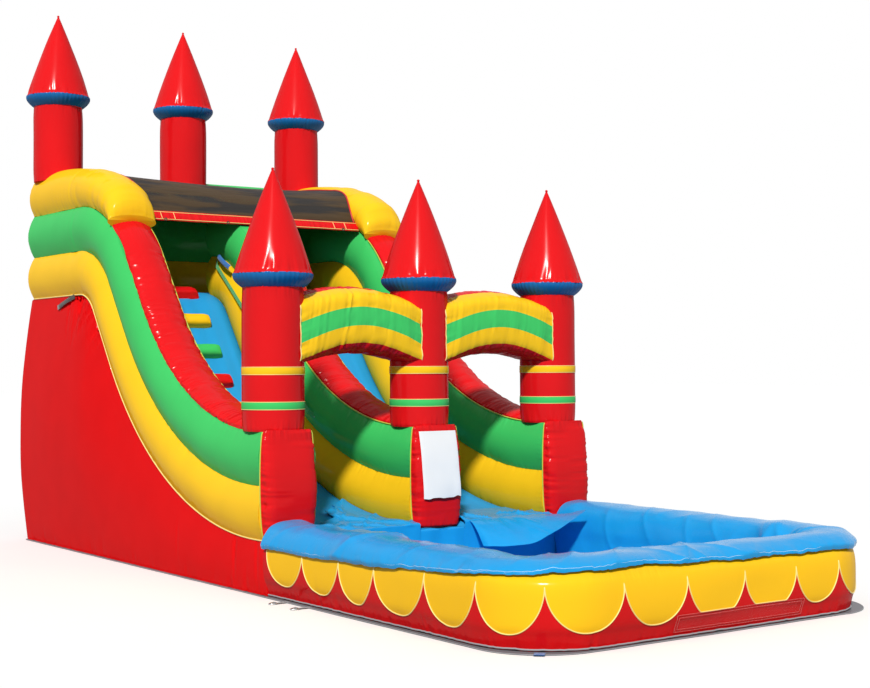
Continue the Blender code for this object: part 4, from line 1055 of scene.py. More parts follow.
@dataclass
class TrimBook:
    """The seams that carry a trim, gathered from all sub-assemblies and laid at the end.

    Attributes:
        finishes: The slide's finishes.
    """

    finishes: Finishes
    seams: dict[tuple[Trim, float], list[tuple[Array, bool]]] = field(default_factory=dict)

    def note(self, trim: Trim, path: Array, radius: float, closed: bool = False) -> None:
        """Note one seam that gets a trim.

        Args:
            trim: Which trim.
            path: Points of the seam.
            radius: The trim's radius in metres.
            closed: Whether the seam closes on itself.
        """
        self.seams.setdefault((trim, radius), []).append((np.asarray(path, float), closed))

    def lay(self) -> None:
        """Lay every trim with Geometry Nodes and make each a plain mesh."""
        cords, stitches = trim_tree(False), trim_tree(True)
        for number, ((trim, radius), paths) in enumerate(self.seams.items()):
            points: list[list[float]] = []
            edges: list[tuple[int, int]] = []
            for path, closed in paths:
                base = len(points)
                points += path.tolist()
                edges += [(base + i, base + i + 1) for i in range(len(path) - 1)]
                if closed:
                    edges.append((base + len(path) - 1, base))
            mesh = bpy.data.meshes.new(trim.value)
            mesh.from_pydata(points, edges, [])
            laid = bpy.data.objects.new(f"{trim.value}_{number + 1}", mesh)
            bpy.context.scene.collection.objects.link(laid)
            stitched = trim is Trim.STITCHES
            tree = stitches if stitched else cords
            change = laid.modifiers.new("trim", "NODES")
            change.node_group = tree
            pitch = STITCH_PITCH if stitched else max(0.012, 2 * radius)
            values = {"Radius": radius, "Pitch": pitch, "Finish": self.finishes.trims[trim]}
            for item in tree.interface.items_tree:
                if item.in_out == "INPUT" and item.name in values:
                    change[item.identifier] = values[item.name]
            settle(settled(laid))


def settle(
    piece: bpy.types.Object, node: str = "", body: Body = Body.SLIDE
) -> bpy.types.Object:
    """Let a finished piece ride on its body and stand for a CAD node.

    Args:
        piece: The finished piece.
        node: The CAD node that it stands for, if any.
        body: The body that it moves with.

    Returns:
        The piece.
    """
    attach(piece, body.value)
    if node:
        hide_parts(node)
    log.info("%s: %d faces", piece.name, len(piece.data.polygons))
    return piece


def declare_sheet(
    piece: bpy.types.Object,
    width: float,
    held: str,
    *rests: str,
    length: float = 0.0,
    spare: float = 1.02,
) -> None:
    """Measure a thin closed piece's area and work out its flat length as cloth; nothing is kept or
    set.

    Args:
        piece: The finished piece.
        width: Its flat width.
        held: How it is held; not used.
        rests: The nodes that it rests on; not used.
        length: Its flat length, or 0 to work it out from the area.
        spare: The flat area as a share of the measured one, where the length is worked out.
    """
    area = sum(face.area for face in piece.data.polygons) / 2
    length = length or area * spare / width


@dataclass
class Assembly:
    """A sub-assembly of dressed pieces.

    Attributes:
        finishes: The slide's finishes.
        trims: Where seams that carry a trim are noted.
    """

    finishes: Finishes
    trims: TrimBook


@dataclass(frozen=True)
class Band:
    """One inflated band of a wall, between two seams that run parallel to the bed.

    Attributes:
        name: The piece's name, which is also its CAD node's.
        x: The wall's middle.
        low: Height of the lower seam over the run line.
        high: Height of the upper seam.
        end: Distance at which it ends.
        outer: The side that faces out, -1 or 1, or 0 for the middle wall, whose end is flat.
        seed: Its own random table.
    """

    name: str
    x: float
    low: float
    high: float
    end: float
    outer: int
    seed: int

    def build(self, finish: bpy.types.Material) -> bpy.types.Object:
        """Build the band and return it."""
        at = evenly(WALL_FRONT, self.end, 0.013)
        if self.outer:
            at = np.union1d(at, self.end - END_ROUND * (1 - np.sin(np.linspace(0, math.pi / 2, 9))))
        near = np.clip(self.end - at, 0, END_ROUND) if self.outer else np.full(len(at), END_ROUND)
        shrink = END_ROUND * (1 - np.sqrt(1 - (1 - near / END_ROUND) ** 2))
        fade = 1 - smooth_step((RUN.frame_at(at)[0] - (REAR_WALL_Y - HALF_WALL - 0.60)) / 0.30)
        share = eased(17)
        heights = self.low + HALF_GAP + (self.high - self.low - FULL_GAP) * share
        lines = []
        for side in (1, -1):
            swell = np.ones(len(at)) if side == self.outer else fade
            half = HALF_WALL + WALL_BULGE * swell[:, None] * arc_share(share) - shrink[:, None]
            lines.append(RUN.place(at[:, None], heights, self.x + side * half))
        across = np.array([0.6, 0.0, -0.6])
        top = RUN.place(
            at[:, None], self.high - HALF_GAP, self.x + across * (HALF_WALL - shrink[:, None])
        )
        points = np.concatenate([lines[0], top, lines[1][:, ::-1]], axis=1)
        gap = np.minimum(share, 1 - share) * (self.high - self.low)
        side_gap = np.concatenate([gap, np.zeros(3), gap[::-1]])
        end_gap = np.minimum(at - WALL_FRONT, (self.end - at) if self.outer else FAR)[:, None]
        points = pushed(points, self.relief(at[:, None], side_gap, end_gap), True)
        return Piece(f"{self.name}_cover").skin(
            points, side_gap=side_gap, end_gap=end_gap
        ).finish(finish)

    def relief(self, at: Array, side_gap: Array, end_gap: Array) -> Array:
        """Return the height of the larger folds over the band."""
        full = smooth_step(side_gap / 0.12)
        column = np.arange(len(side_gap)) // 19
        waves = 0.0035 * cloth_noise(at / 0.42, side_gap / 0.25 + 3 * column, self.seed) * full
        bend = smooth_step((at - RUN.at_crest + 0.15) / 0.2) * (
            1 - smooth_step((at - RUN.at_deck - 0.1) / 0.3)
        )
        hollow = smooth_step((at - 0.3) / 0.6) * (1 - smooth_step((at - 2.2) / 1.0))
        depth = 0.35 + 0.5 * hollow + 0.9 * bend
        gathered = puckers(at + column, side_gap, 0.055, 0.008, 0.12, self.seed + 7) * depth
        front = puckers(side_gap * 2 + 3 * column, end_gap, 0.045, 0.006, 0.09, self.seed + 17)
        across = 0.004 * bend * np.minimum(0, cloth_noise(at / 0.06, column, self.seed + 27)) * full
        return waves + gathered + front * full + across


@dataclass(frozen=True)
class Cap:
    """The flat red pillow along the sloping top of a wall.

    Attributes:
        name: The piece's name, which is also its CAD node's.
        x: The wall's middle.
        seed: Its own random table.
    """

    name: str
    x: float
    seed: int

    def build(self, finish: bpy.types.Material) -> bpy.types.Object:
        """Build the cap and return it."""
        at = evenly(RUN.at_hollow + 0.05, TUBE_START - FULL_GAP, 0.011)
        across = np.sin(np.linspace(math.pi / 2, -math.pi / 2, 27))
        height = TOP_SEAM + 0.022 + 0.066 * (1 - across**2) ** 0.8
        nose = np.sqrt(1 - (1 - np.clip((TUBE_START - at) / 0.10, 0.02, 1)) ** 2)[:, None]
        lifted = TOP_SEAM + (height - TOP_SEAM) * (0.75 + 0.25 * nose)
        top = RUN.place(at[:, None], lifted, self.x + HALF_WALL * across)
        foot = RUN.place(at[:, None], TOP_SEAM - 0.01, self.x + HALF_WALL * np.array([-0.97, 0.97]))
        points = np.concatenate([top, foot], axis=1)
        gap = np.concatenate([(1 - np.abs(across)) * HALF_WALL, [0.0, 0.0]])
        side = np.concatenate([np.sign(across), [0, 0]])
        end_gap = (at[-1] - at)[:, None]
        relief = puckers(at[:, None] + side, gap, 0.085, 0.032, 0.20, self.seed)
        relief += (
            0.004 * cloth_noise(at[:, None] / 0.30, gap / 0.15, self.seed + 1)
            * smooth_step(gap / 0.05)
        )
        relief += (
            puckers(gap * 3, end_gap, 0.05, 0.008, 0.10, self.seed + 5) * smooth_step(gap / 0.03)
        )
        points = pushed(points, relief, True)
        return Piece(f"{self.name}_cover").skin(
            points, side_gap=gap, end_gap=end_gap
        ).finish(finish)

    def seam(self, side: int) -> Array:
        """Return the path of the piping along one edge of the cap."""
        at = evenly(RUN.at_hollow + 0.25, TUBE_START - 0.01, 0.02)
        return RUN.place(at, TOP_SEAM + 0.006, self.x + side * (HALF_WALL + 0.004))


def tube_section(height: Array) -> Array:
    """Return the section of a tube that sits on a seam, from its right foot over the top.

    Args:
        height: Its height, one for each station.

    Returns:
        Stations, points and (sideways, up).
    """
    height = np.asarray(height, float)
    belly = 0.43 * height
    right = [(np.full_like(height, HALF_WALL), 0 * height)]
    right.append((np.full_like(height, HALF_WALL + (HALF_TUBE - HALF_WALL) * 0.75), belly * 0.45))
    right.append((np.full_like(height, HALF_TUBE), belly))
    for degrees in (25, 48, 70):
        turn = math.radians(degrees)
        right.append(
            (
                np.full_like(height, HALF_TUBE * math.cos(turn)),
                belly + (height - belly) * math.sin(turn),
            )
        )
    whole = right + [(0 * height, height)] + [(-a, b) for a, b in right[::-1]]
    return curve_through(np.stack([np.stack(pair, -1) for pair in whole], -2), 49)


def top_tube_height(at: Array | float) -> Array:
    """Return how high a side wall's top tube is at distances along the run line."""
    gone = (
        (np.minimum(at, RUN.at_deck) - TUBE_START) * SEAM_STRETCH
        + np.maximum(np.asarray(at) - RUN.at_deck, 0.0)
    )
    slim = 0.70 + 0.30 * smooth_step(gone / 1.60)
    return TOP_TUBE_HEIGHT * slim * np.sqrt(1 - (1 - np.clip(gone / 0.28, 0.0, 1.0)) ** 2)


@dataclass(frozen=True)
class TopTube:
    """The yellow tube along the level top of a side wall and down over its crest.

    Attributes:
        name: The piece's name, which is also its CAD node's.
        x: The wall's middle.
        seed: Its own random table.
    """

    name: str
    x: float
    seed: int

    def build(self, finish: bpy.types.Material) -> bpy.types.Object:
        """Build the tube and return it."""
        start = TUBE_START + FULL_GAP
        nose = start + (1 - np.cos(np.linspace(0, math.pi / 2, 16))) * 0.10
        at = np.union1d(
            nose,
            np.concatenate(
                [evenly(start, RUN.at_deck, 0.004), evenly(RUN.at_deck, RUN.at_rear, 0.013)]
            ),
        )
        at = np.union1d(at, RUN.at_rear - END_ROUND * (1 - np.sin(np.linspace(0, math.pi / 2, 9))))
        section = tube_section(top_tube_height(at + 0.007))
        near = np.clip(RUN.at_rear - at, 0, END_ROUND)
        slim = 1 - END_ROUND * (1 - np.sqrt(1 - (1 - near / END_ROUND) ** 2)) / HALF_TUBE
        points = RUN.place(
            at[:, None],
            TOP_SEAM + HALF_GAP + section[..., 1],
            self.x + section[..., 0] * slim[:, None],
        )
        column = np.arange(points.shape[1])
        gap = from_ends(column) * 0.021
        end_gap = np.minimum((at - start) * SEAM_STRETCH, RUN.at_rear - at)[:, None]
        seam = (
            np.minimum(at, RUN.at_deck) * SEAM_STRETCH + np.maximum(at - RUN.at_deck, 0)
        )[:, None]
        relief = puckers(seam + (column > 24), gap, 0.060, 0.010, 0.15, self.seed)
        bend = 1 - smooth_step((at - RUN.at_deck - 0.05) / 0.35)[:, None]
        relief += (
            0.012 * bend * np.minimum(0, cloth_noise(seam / 0.07, gap / 0.5, self.seed + 3))
            * smooth_step(gap / 0.1)
        )
        relief += (
            puckers(gap * 2 + 3 * (column > 24), end_gap, 0.055, 0.010, 0.12, self.seed + 5)
            * smooth_step(gap / 0.04)
        )
        relief += 0.004 * cloth_noise(seam / 0.4, gap / 0.2, self.seed + 9)
        points = pushed(points, relief * smooth_step(end_gap / 0.01), True)
        return Piece(f"{self.name}_cover").skin(
            points, side_gap=gap, end_gap=end_gap
        ).finish(finish)


class Walls(Assembly):
    """The side walls, the middle wall and the back wall of the platform."""

    def build(self) -> None:
        """Build every band, cap and tube."""
        looks = self.finishes
        for name, side, seed in (("left_wall", -1, 0), ("right_wall", 1, 1), ("divider", 0, 4)):
            x = side * WALL_SPACING
            end = RUN.at_rear if side else RUN.at_deck
            yellow = Band(f"{name}_yellow", x, 0.0, TUBE_PITCH, end, side, 10 + seed)
            green = Band(f"{name}_green", x, TUBE_PITCH, TOP_SEAM, end, side, 20 + seed)
            cap = Cap(f"{name}_cap", x, 30 + seed)
            settle(yellow.build(looks.yellow), yellow.name)
            settle(green.build(looks.green), green.name)
            settle(cap.build(looks.red), cap.name)
            for inner in (-side,) if side else (-1, 1):
                self.trims.note(Trim.LIME_PIPING, cap.seam(inner), 0.006)
            if side:
                tube = TopTube(f"{name.removesuffix('_wall')}_top_tube", x, 40 + seed)
                settle(tube.build(looks.yellow), tube.name)
                at = evenly(WALL_FRONT, RUN.at_rear - END_ROUND, 0.02)
                off = side * (HALF_WALL + 0.003)
                self.trims.note(Trim.PALE_PIPING, RUN.place(at, 0.001, x + off), 0.006)
                self.trims.note(Trim.LIME_PIPING, RUN.place(at, 0.004, x - off), 0.005)
        self.back_wall()

    def back_wall(self) -> None:
        """Build the back wall's two bands and the beam on top of them."""
        looks = self.finishes
        half = WALL_SPACING - HALF_WALL
        x = evenly(-half, half, 0.014)
        share = eased(17)
        for name, finish, slot, low in (
            ("rear_wall_yellow", looks.yellow, "yellow_vinyl", 0.0),
            ("rear_wall_green", looks.green, "green_vinyl", TUBE_PITCH),
        ):
            z = DECK_Z + low + TUBE_PITCH * share
            reach = HALF_WALL + WALL_BULGE * arc_share(share)
            y = REAR_WALL_Y + np.concatenate([reach, -reach[::-1]])
            points = grid_of(x[:, None], y, np.concatenate([z, z[::-1]]))
            gap = np.tile(np.minimum(share, 1 - share) * TUBE_PITCH, 2)
            gap[17:] = gap[17:][::-1]
            end_gap = from_ends(x)[:, None]
            relief = puckers(x[:, None], gap, 0.055, 0.005, 0.10, 50 + len(name))
            relief += puckers(gap * 2, end_gap, 0.05, 0.006, 0.08, 53) * smooth_step(gap / 0.05)
            relief += 0.004 * cloth_noise(x[:, None] / 0.4, gap / 0.2, 57) * smooth_step(gap / 0.1)
            piece = Piece(f"{name}_cover").skin(
                pushed(points, relief, True), side_gap=gap, end_gap=end_gap
            ).finish(finish)
            settle(piece, name)
        half = WALL_SPACING - HALF_TUBE + 0.03
        x = evenly(-half, half, 0.014)
        section = tube_section(np.full(len(x), TOP_TUBE_HEIGHT))
        y = REAR_WALL_Y + section[..., 0]
        points = grid_of(x[:, None], y, DECK_Z + TOP_SEAM + section[..., 1])
        gap = from_ends(np.arange(49)) * 0.021
        relief = (
            puckers(x[:, None], gap, 0.06, 0.006, 0.12, 61)
            + 0.004 * cloth_noise(x[:, None] / 0.4, gap / 0.2, 62)
        )
        piece = Piece("rear_beam_cover").skin(
            pushed(points, relief, True), side_gap=gap
        ).finish(looks.green)
        settle(piece, "rear_beam")


# The body's rounded back, and the inflation sleeve: middle, radii outside and inside, length
BACK_ROUND = 0.23
SLEEVE_X = -0.95
SLEEVE_Z = 0.17
SLEEVE_RADII = (0.150, 0.1465)
SLEEVE_LENGTH = 0.34


class Hull(Assembly):
    """The big red body under both lanes, and the inflation sleeve at its back."""

    def section(self, y: Array, low: Array, high: Array, top: Array, draw_in: Array) -> Array:
        """Return the body's rings: the right side from the ground up, then the left side down.

        Args:
            y: Each ring's place along the slide.
            low: Height of each ring's foot.
            high: Height of each ring's top.
            top: Height of the seam above it.
            draw_in: How far the sides are drawn in.

        Returns:
            Rows, columns and 3.
        """
        share = eased(45)
        z = low[:, None] + (high - low)[:, None] * share
        up = (z - FOOT_Z) / (top[:, None] - FOOT_Z)
        straight = GROUND_HALF_WIDTH + (WALL_SPACING + HALF_WALL - GROUND_HALF_WIDTH) * up
        half = (
            straight + 0.045 * top[:, None] * np.sin(math.pi * np.clip(up, 0, 1)) - draw_in[:, None]
        )
        right = grid_of(half, y[:, None], z)
        return np.concatenate([right, right[:, ::-1] * [-1, 1, 1]], axis=1)

    def build(self) -> None:
        """Build the body and its sleeve."""
        at = evenly(0.0, RUN.at_rear, 0.016)
        y, z, _, _ = RUN.frame_at(at)
        turn = np.linspace(0, math.pi / 2, 30)[1:]
        curve = 1 - np.cos(turn)
        squeeze = (DECK_Z - FOOT_Z) / 2 * 0.72 * curve
        y = np.concatenate([y, REAR_Y + BACK_ROUND * np.sin(turn)])
        top = np.concatenate([z, np.full(len(turn), DECK_Z)]) - HALF_GAP
        low = np.concatenate([np.full(len(at), FOOT_Z), FOOT_Z + squeeze])
        high = np.concatenate([z - HALF_GAP, DECK_Z - squeeze])
        draw_in = np.concatenate([np.zeros(len(at)), 0.385 * curve])
        points = self.section(y, low, high, top, draw_in)
        side = points[:, :45, 2]
        to_top, to_foot = high[:, None] - side, side - low[:, None]
        gap = np.minimum(to_top, to_foot)
        seam = np.concatenate([[0.0], np.cumsum(np.hypot(np.diff(y), np.diff(high)))])[:, None]
        line_at = evenly(RUN.at_crest - 0.9, RUN.at_deck + 0.8, 0.02)
        line_y, line_z, _, _ = RUN.frame_at(line_at)
        away = np.hypot(y[:, None, None] - line_y, side[..., None] - line_z)
        down, beside = away.min(axis=2), line_at[away.argmin(axis=2)]
        crest = smooth_step((beside - RUN.at_crest + 0.55) / 0.4) * (
            1 - smooth_step((beside - RUN.at_deck - 0.05) / 0.35)
        )
        reliefs = []
        for seed in (71, 81):
            # The seam gathers the film into a fan of creases round the crest
            relief = puckers(beside, down, 0.085, 0.065, 0.32, seed) * crest
            relief += puckers(seam, to_top, 0.070, 0.006, 0.16, seed + 5) * (1 - crest)
            relief += puckers(y[:, None], to_foot, 0.070, 0.010, 0.16, seed + 1)
            relief += (
                0.012 * cloth_noise(y[:, None] / 0.8, side / 0.6, seed + 2) * smooth_step(gap / 0.3)
            )
            for where, lean, depth in (
                (-0.20, 0.28, 0.008), (0.18, 0.22, 0.010), (1.2, 0.1, 0.004)
            ):
                off = y[:, None] - where - lean * side
                relief -= depth * np.exp(-((off / 0.018) ** 2)) * np.exp(
                    -((side - 0.32) / 0.22) ** 2
                )
            reliefs.append(relief)
        both = np.concatenate([reliefs[0], reliefs[1][:, ::-1]], axis=1)
        gap = gap + 0.06 * (1 - crest)
        side_gap = np.concatenate([gap, gap[:, ::-1]], axis=1)
        skin = Piece("slide_base_cover").skin(pushed(points, both, True), side_gap=side_gap)
        piece = skin.finish(self.finishes.body_red, crease=50)
        settle(piece, "slide_base")
        self.sleeve()
        self.tabs()

    def tabs(self) -> None:
        """Build the frayed tab under the left wall's seam and the small one at the pool's foot."""
        share = np.linspace(0, 1, 24)[:, None]
        wide = np.linspace(-0.5, 0.5, 6)
        middle = (
            np.array([-(WALL_SPACING + HALF_WALL + 0.012), 3.58, DECK_Z - 0.012])
            + share * np.array([-0.022, 0.36, -0.10])
        )
        points = middle[:, None] + wide[:, None] * np.array([0, 0.012, 0.042])
        points[..., 0] -= 0.012 * np.sin(3.0 * share) + 0.004 * cloth_noise(share * 4, wide * 2, 95)
        tab = Piece("seam_tab").skin(points, ring=False, facing=(-1, 0, 0))
        made = settle(tab.finish(self.finishes.black_web, thick=0.002))
        declare_sheet(made, 0.044, "hung", "left_wall_yellow", "slide_base")
        frayed = points[-4:] + np.array([-0.003, 0.012, -0.004])
        end = Piece("seam_tab_end").skin(frayed, ring=False, facing=(-1, 0, 0))
        made = settle(end.finish(self.finishes.grey_web, thick=0.002))
        declare_sheet(made, 0.044, "hung", "left_wall_yellow", "slide_base")
        out = np.linspace(0, 1, 8)[:, None]
        foot = np.array([-1.52, POOL_FRONT_Y + 0.17, 0.008]) + out * np.array([-0.06, -0.06, 0.002])
        points = foot[:, None] + wide[:, None] * np.array([0.05, -0.05, 0.0])
        tab = Piece("pool_foot_tab").skin(points, ring=False, facing=(0, 0, 1))
        made = settle(tab.finish(self.finishes.blue_web, thick=0.002))
        declare_sheet(made, 0.071, "laid", "ground_sheet")

    def sleeve(self) -> None:
        """Build the open sleeve with its ruffled mouth and its tie."""
        end = REAR_Y + BACK_ROUND + SLEEVE_LENGTH
        y = np.concatenate([evenly(GROUND_REAR_Y - 0.02, end, 0.006), [end + 0.002]])
        turn = full_turn(96)
        waist = (
            0.93 + 0.07 * smooth_step((end - 0.05 - y) / 0.25)
            + 0.05 * smooth_step((y - end + 0.05) / 0.05)
        )
        waist = waist - 0.05 * np.exp(-(((y - end + 0.11) / 0.012) ** 2))
        ruffle = 0.012 * smooth_step((y - end + 0.06) / 0.06)[:, None] * np.sin(5 * turn)
        folds = 0.004 * cloth_noise(turn[None, :] * 4, y[:, None] / 0.2, 91)
        grids = []
        for radius in SLEEVE_RADII:
            reach = radius * waist[:, None] + ruffle + folds
            x, z = SLEEVE_X + reach * np.cos(turn), SLEEVE_Z + reach * np.sin(turn)
            grids.append(grid_of(x, y[:, None], z))
        whole = np.concatenate([grids[0], grids[1][::-1]], axis=0)
        piece = Piece("inflation_sleeve_cover").skin(
            whole, ends=(False, False)
        ).finish(self.finishes.red)
        settle(piece, "inflation_sleeve")
        x, z = SLEEVE_X + 0.141 * np.cos(turn), SLEEVE_Z + 0.141 * np.sin(turn)
        tie = grid_of(x, end - 0.11, z)
        strap = Piece("sleeve_tie").skin(
            swept(tie, 0.006, 12, closed=True, squash=2.2), ends=(False, False)
        )
        settle(strap.finish(self.finishes.black_web))


# The hand strap: its ends on the middle wall, and how far its eyelets lie out from the wall
STRAP_TOP = (0, 3.25, 2.90)
STRAP_FOOT = (0, 1.30, 1.33)
STRAP_HELD = HALF_WALL + 0.052


class Lanes(Assembly):
    """The padded beds, the climbing steps and the hand strap."""

    def bed_skin(
        self, at: Array, low: float, high: float, thick: Array, seed: int
    ) -> tuple[Array, Array]:
        """Return a bed's rings and their distances to its side seams."""
        share = eased(49)
        x = low + BED_INSET + (high - low - 2 * BED_INSET) * share
        gap = from_ends(x)
        rise = 1 - (1 - np.clip(gap / 0.15, 0, 1)) ** 2.6
        height = 0.012 + (thick[:, None] - 0.012) * rise
        folds = (
            cloth_noise(x / 0.11, at[:, None] / 1.9, seed)
            + 0.5 * cloth_noise(x / 0.05, at[:, None] / 1.1, seed + 1)
        )
        slack = 0.006 * folds * smooth_step(gap / 0.10) * smooth_step(at / 0.4)[:, None]
        top = RUN.place(
            at[:, None], height + slack + puckers(at[:, None], gap, 0.06, 0.006, 0.10, seed + 2), x
        )
        foot = RUN.place(at[:, None], HALF_GAP, np.array([high - BED_INSET, low + BED_INSET]))
        return np.concatenate([top, foot], axis=1), np.concatenate([gap, [0, 0]])

    def beds(self) -> None:
        """Build both beds; the climbing lane's runs on as the platform's floor."""
        for name, side in (("climb_bed", -1), ("slide_bed", 1)):
            low, high = side * LANE_X - LANE_HALF, side * LANE_X + LANE_HALF
            at = evenly(FULL_GAP, RUN.at_deck - FULL_GAP, 0.016)
            thick = 0.012 + 0.038 * smooth_step(at / 0.06)
            points, gap = self.bed_skin(at, low, high, thick, 100 + side)
            piece = Piece(f"{name}_cover").skin(points, side_gap=gap)
            if side < 0:
                wide = WALL_SPACING - HALF_WALL
                deck = evenly(
                    RUN.at_deck, RUN.level_at(REAR_WALL_Y - HALF_WALL - WALL_BULGE / 2), 0.02
                )
                points, gap = self.bed_skin(deck, -wide, wide, np.full(len(deck), BED_THICK), 105)
                piece.skin(points, side_gap=gap)
            settle(piece.finish(self.finishes.bed_blue), name)

    def step(self, number: int, finish: bpy.types.Material, slot: str) -> None:
        """Build one foam-filled step; step 1 is the lowest."""
        at = RUN.at_deck - TOP_STEP_AT - (9 - number) * STEP_PITCH
        width, depth, height = STEP_SIZE
        y, z, normal_y, normal_z = (float(value) for value in RUN.frame_at(at))
        middle = np.array([-LANE_X - 0.025, y + normal_y * BED_THICK, z + normal_z * BED_THICK])
        along, up = np.array([0, normal_z, -normal_y]), np.array([0, normal_y, normal_z])
        outline = np.array(
            [
                (-0.5, -0.35), (0.5, -0.35), (0.5, 0.45), (0.40, 0.85), (0.15, 1.0), (-0.20, 1.0),
                (-0.42, 0.80), (-0.5, 0.40),
            ]
        )
        section = curve_through(outline, 40, closed=True)
        share = np.sin(np.linspace(-math.pi / 2, math.pi / 2, 47)) * 0.5
        squash = np.interp(np.abs(share), (0.38, 0.46, 0.488, 0.5), (1.0, 0.85, 0.62, 0.45))
        a = section[:, 0] * depth * (0.8 + 0.2 * squash[:, None])
        b = np.where(section[:, 1] < 0, section[:, 1], section[:, 1] * squash[:, None]) * height
        points = middle + share[:, None, None] * width * np.array([1.0, 0, 0])
        points = points + a[..., None] * along + b[..., None] * up
        gap = (0.5 - np.abs(share))[:, None] * width
        relief = puckers(
            section[:, 0] * 0.3 + section[:, 1] * 0.1, gap, 0.03, 0.004, 0.05, 200 + number
        )
        relief += 0.002 * cloth_noise(share[:, None] * 9, section[:, 0] * 4, 210 + number)
        piece = Piece(f"climb_step_{number}_cover").skin(pushed(points, relief, True), end_gap=gap)
        settle(piece.finish(finish), f"climb_step_{number}")

    def strap(self) -> None:
        """Build the hand strap along the middle wall, with an eyelet at each end."""
        top, foot = np.array(STRAP_TOP), np.array(STRAP_FOOT)
        along = (foot - top) / np.linalg.norm(foot - top)
        across = np.array([0, -along[2], along[1]])
        off = HALF_WALL + WALL_BULGE + 0.022
        held = STRAP_HELD
        places = [
            (top, held),
            (top + along * 0.03, held + 0.012),
            (top + along * 0.09, off),
            (foot - along * 0.09, off),
        ]
        places += [(foot - along * 0.03, held + 0.012), (foot, held)]
        stops = [0.0, 0.012, 0.036, 0.964, 0.988, 1.0]
        share = np.unique(
            np.concatenate(
                [np.linspace(0, 0.04, 12), np.linspace(0.04, 0.96, 120), np.linspace(0.96, 1, 12)]
            )
        )
        middle = top + (foot - top) * share[:, None]
        reach = np.interp(share, stops, [place[1] for place in places])
        sag = 0.012 * np.sin(math.pi * share) + 0.004 * cloth_noise(share * 9, 0.5, 231)
        middle = middle - np.array([0, 0, 1.0]) * sag[:, None]
        twist = 0.004 * cloth_noise(share * 7, 0.5, 232)
        wide = np.linspace(-0.5, 0.5, 7)
        points = middle[:, None] + across * (wide[None, :, None] * 0.045)
        points[..., 0] = -(reach[:, None] + twist[:, None] * wide)
        piece = Piece("hand_strap_webbing").skin(points, ring=False, facing=(-1, 0, 0))
        made = piece.finish(self.finishes.green_web, thick=0.003)
        settle(made, "hand_strap")
        walls = ("divider_green", "divider_yellow")
        declare_sheet(made, 0.048, "stretched", *walls, spare=0.048 / 0.047)
        eyelets = Piece("strap_eyelets")
        turn = full_turn(28)
        for end, sign in ((top, 1), (foot, -1)):
            centre = end + along * 0.022 * sign
            ring = centre + 0.009 * (np.cos(turn)[:, None] * along + np.sin(turn)[:, None] * across)
            ring[:, 0] = -(held + 0.011)
            eyelets.skin(swept(ring, 0.0028, 10, closed=True), ends=(False, False))
        settle(eyelets.finish(self.finishes.steel))
        start, end = np.array([0, 3.14, 2.93]), np.array([0, 2.90, 2.80])
        share = np.linspace(0, 1, 30)
        line = start + (end - start) * share[:, None]
        points = (
            line[:, None]
            + np.array([0, -0.45, 0.89]) * (np.linspace(-0.5, 0.5, 7)[None, :, None] * 0.055)
        )
        points[..., 0] = -(
            off + 0.012 + 0.012 * np.sin(math.pi * share)[:, None]
            - 0.02 * (np.abs(np.linspace(-1, 1, 7)) ** 3)
        )
        sleeve = Piece("strap_sleeve").skin(points, ring=False, facing=(-1, 0, 0))
        made = settle(sleeve.finish(self.finishes.blue_web, thick=0.003))
        declare_sheet(made, 0.065, "stretched", *walls)

    def build(self) -> None:
        """Build the beds, the nine steps and the strap."""
        self.beds()
        colours = (
            (self.finishes.green, "green_vinyl"),
            (self.finishes.yellow, "yellow_vinyl"),
            (self.finishes.red, "red_vinyl"),
        )
        for number in range(1, 10):
            self.step(number, *colours[(number - 1) % 3])
        self.strap()


# The red end panels under the front turrets: their back, foot and top
POST_BACK = -0.2204
POST_FOOT_Z = 0.43
POST_TOP_Z = 1.30
# How square the end panel's section is, sideways and forwards
POST_POWERS = (4.0, 3.6)


def post_size(z: Array) -> tuple[Array, Array]:
    """Return a front end panel's half width and its depth at a height."""
    share = np.clip((z - POST_FOOT_Z) / (1.336 - POST_FOOT_Z), 0, 1)
    half = HALF_WALL + 0.052 * arc_share(share) ** 0.35
    foot = 0.8 + 0.2 * smooth_step((z - POST_FOOT_Z) / 0.02)
    depth = (0.088 - 0.068 * share + 0.055 * arc_share(share)) * foot
    return half - 0.010 * smooth_step((z - 1.275) / 0.025), depth


def post_front(z: Array, x: Array) -> Array:
    """Return how far forward an end panel's skin lies at a height and a place across it."""
    half, depth = post_size(z)
    inside = 1 - np.clip(np.abs(x) / half, 0, 1) ** POST_POWERS[0]
    return POST_BACK - depth * inside ** (1 / POST_POWERS[1])


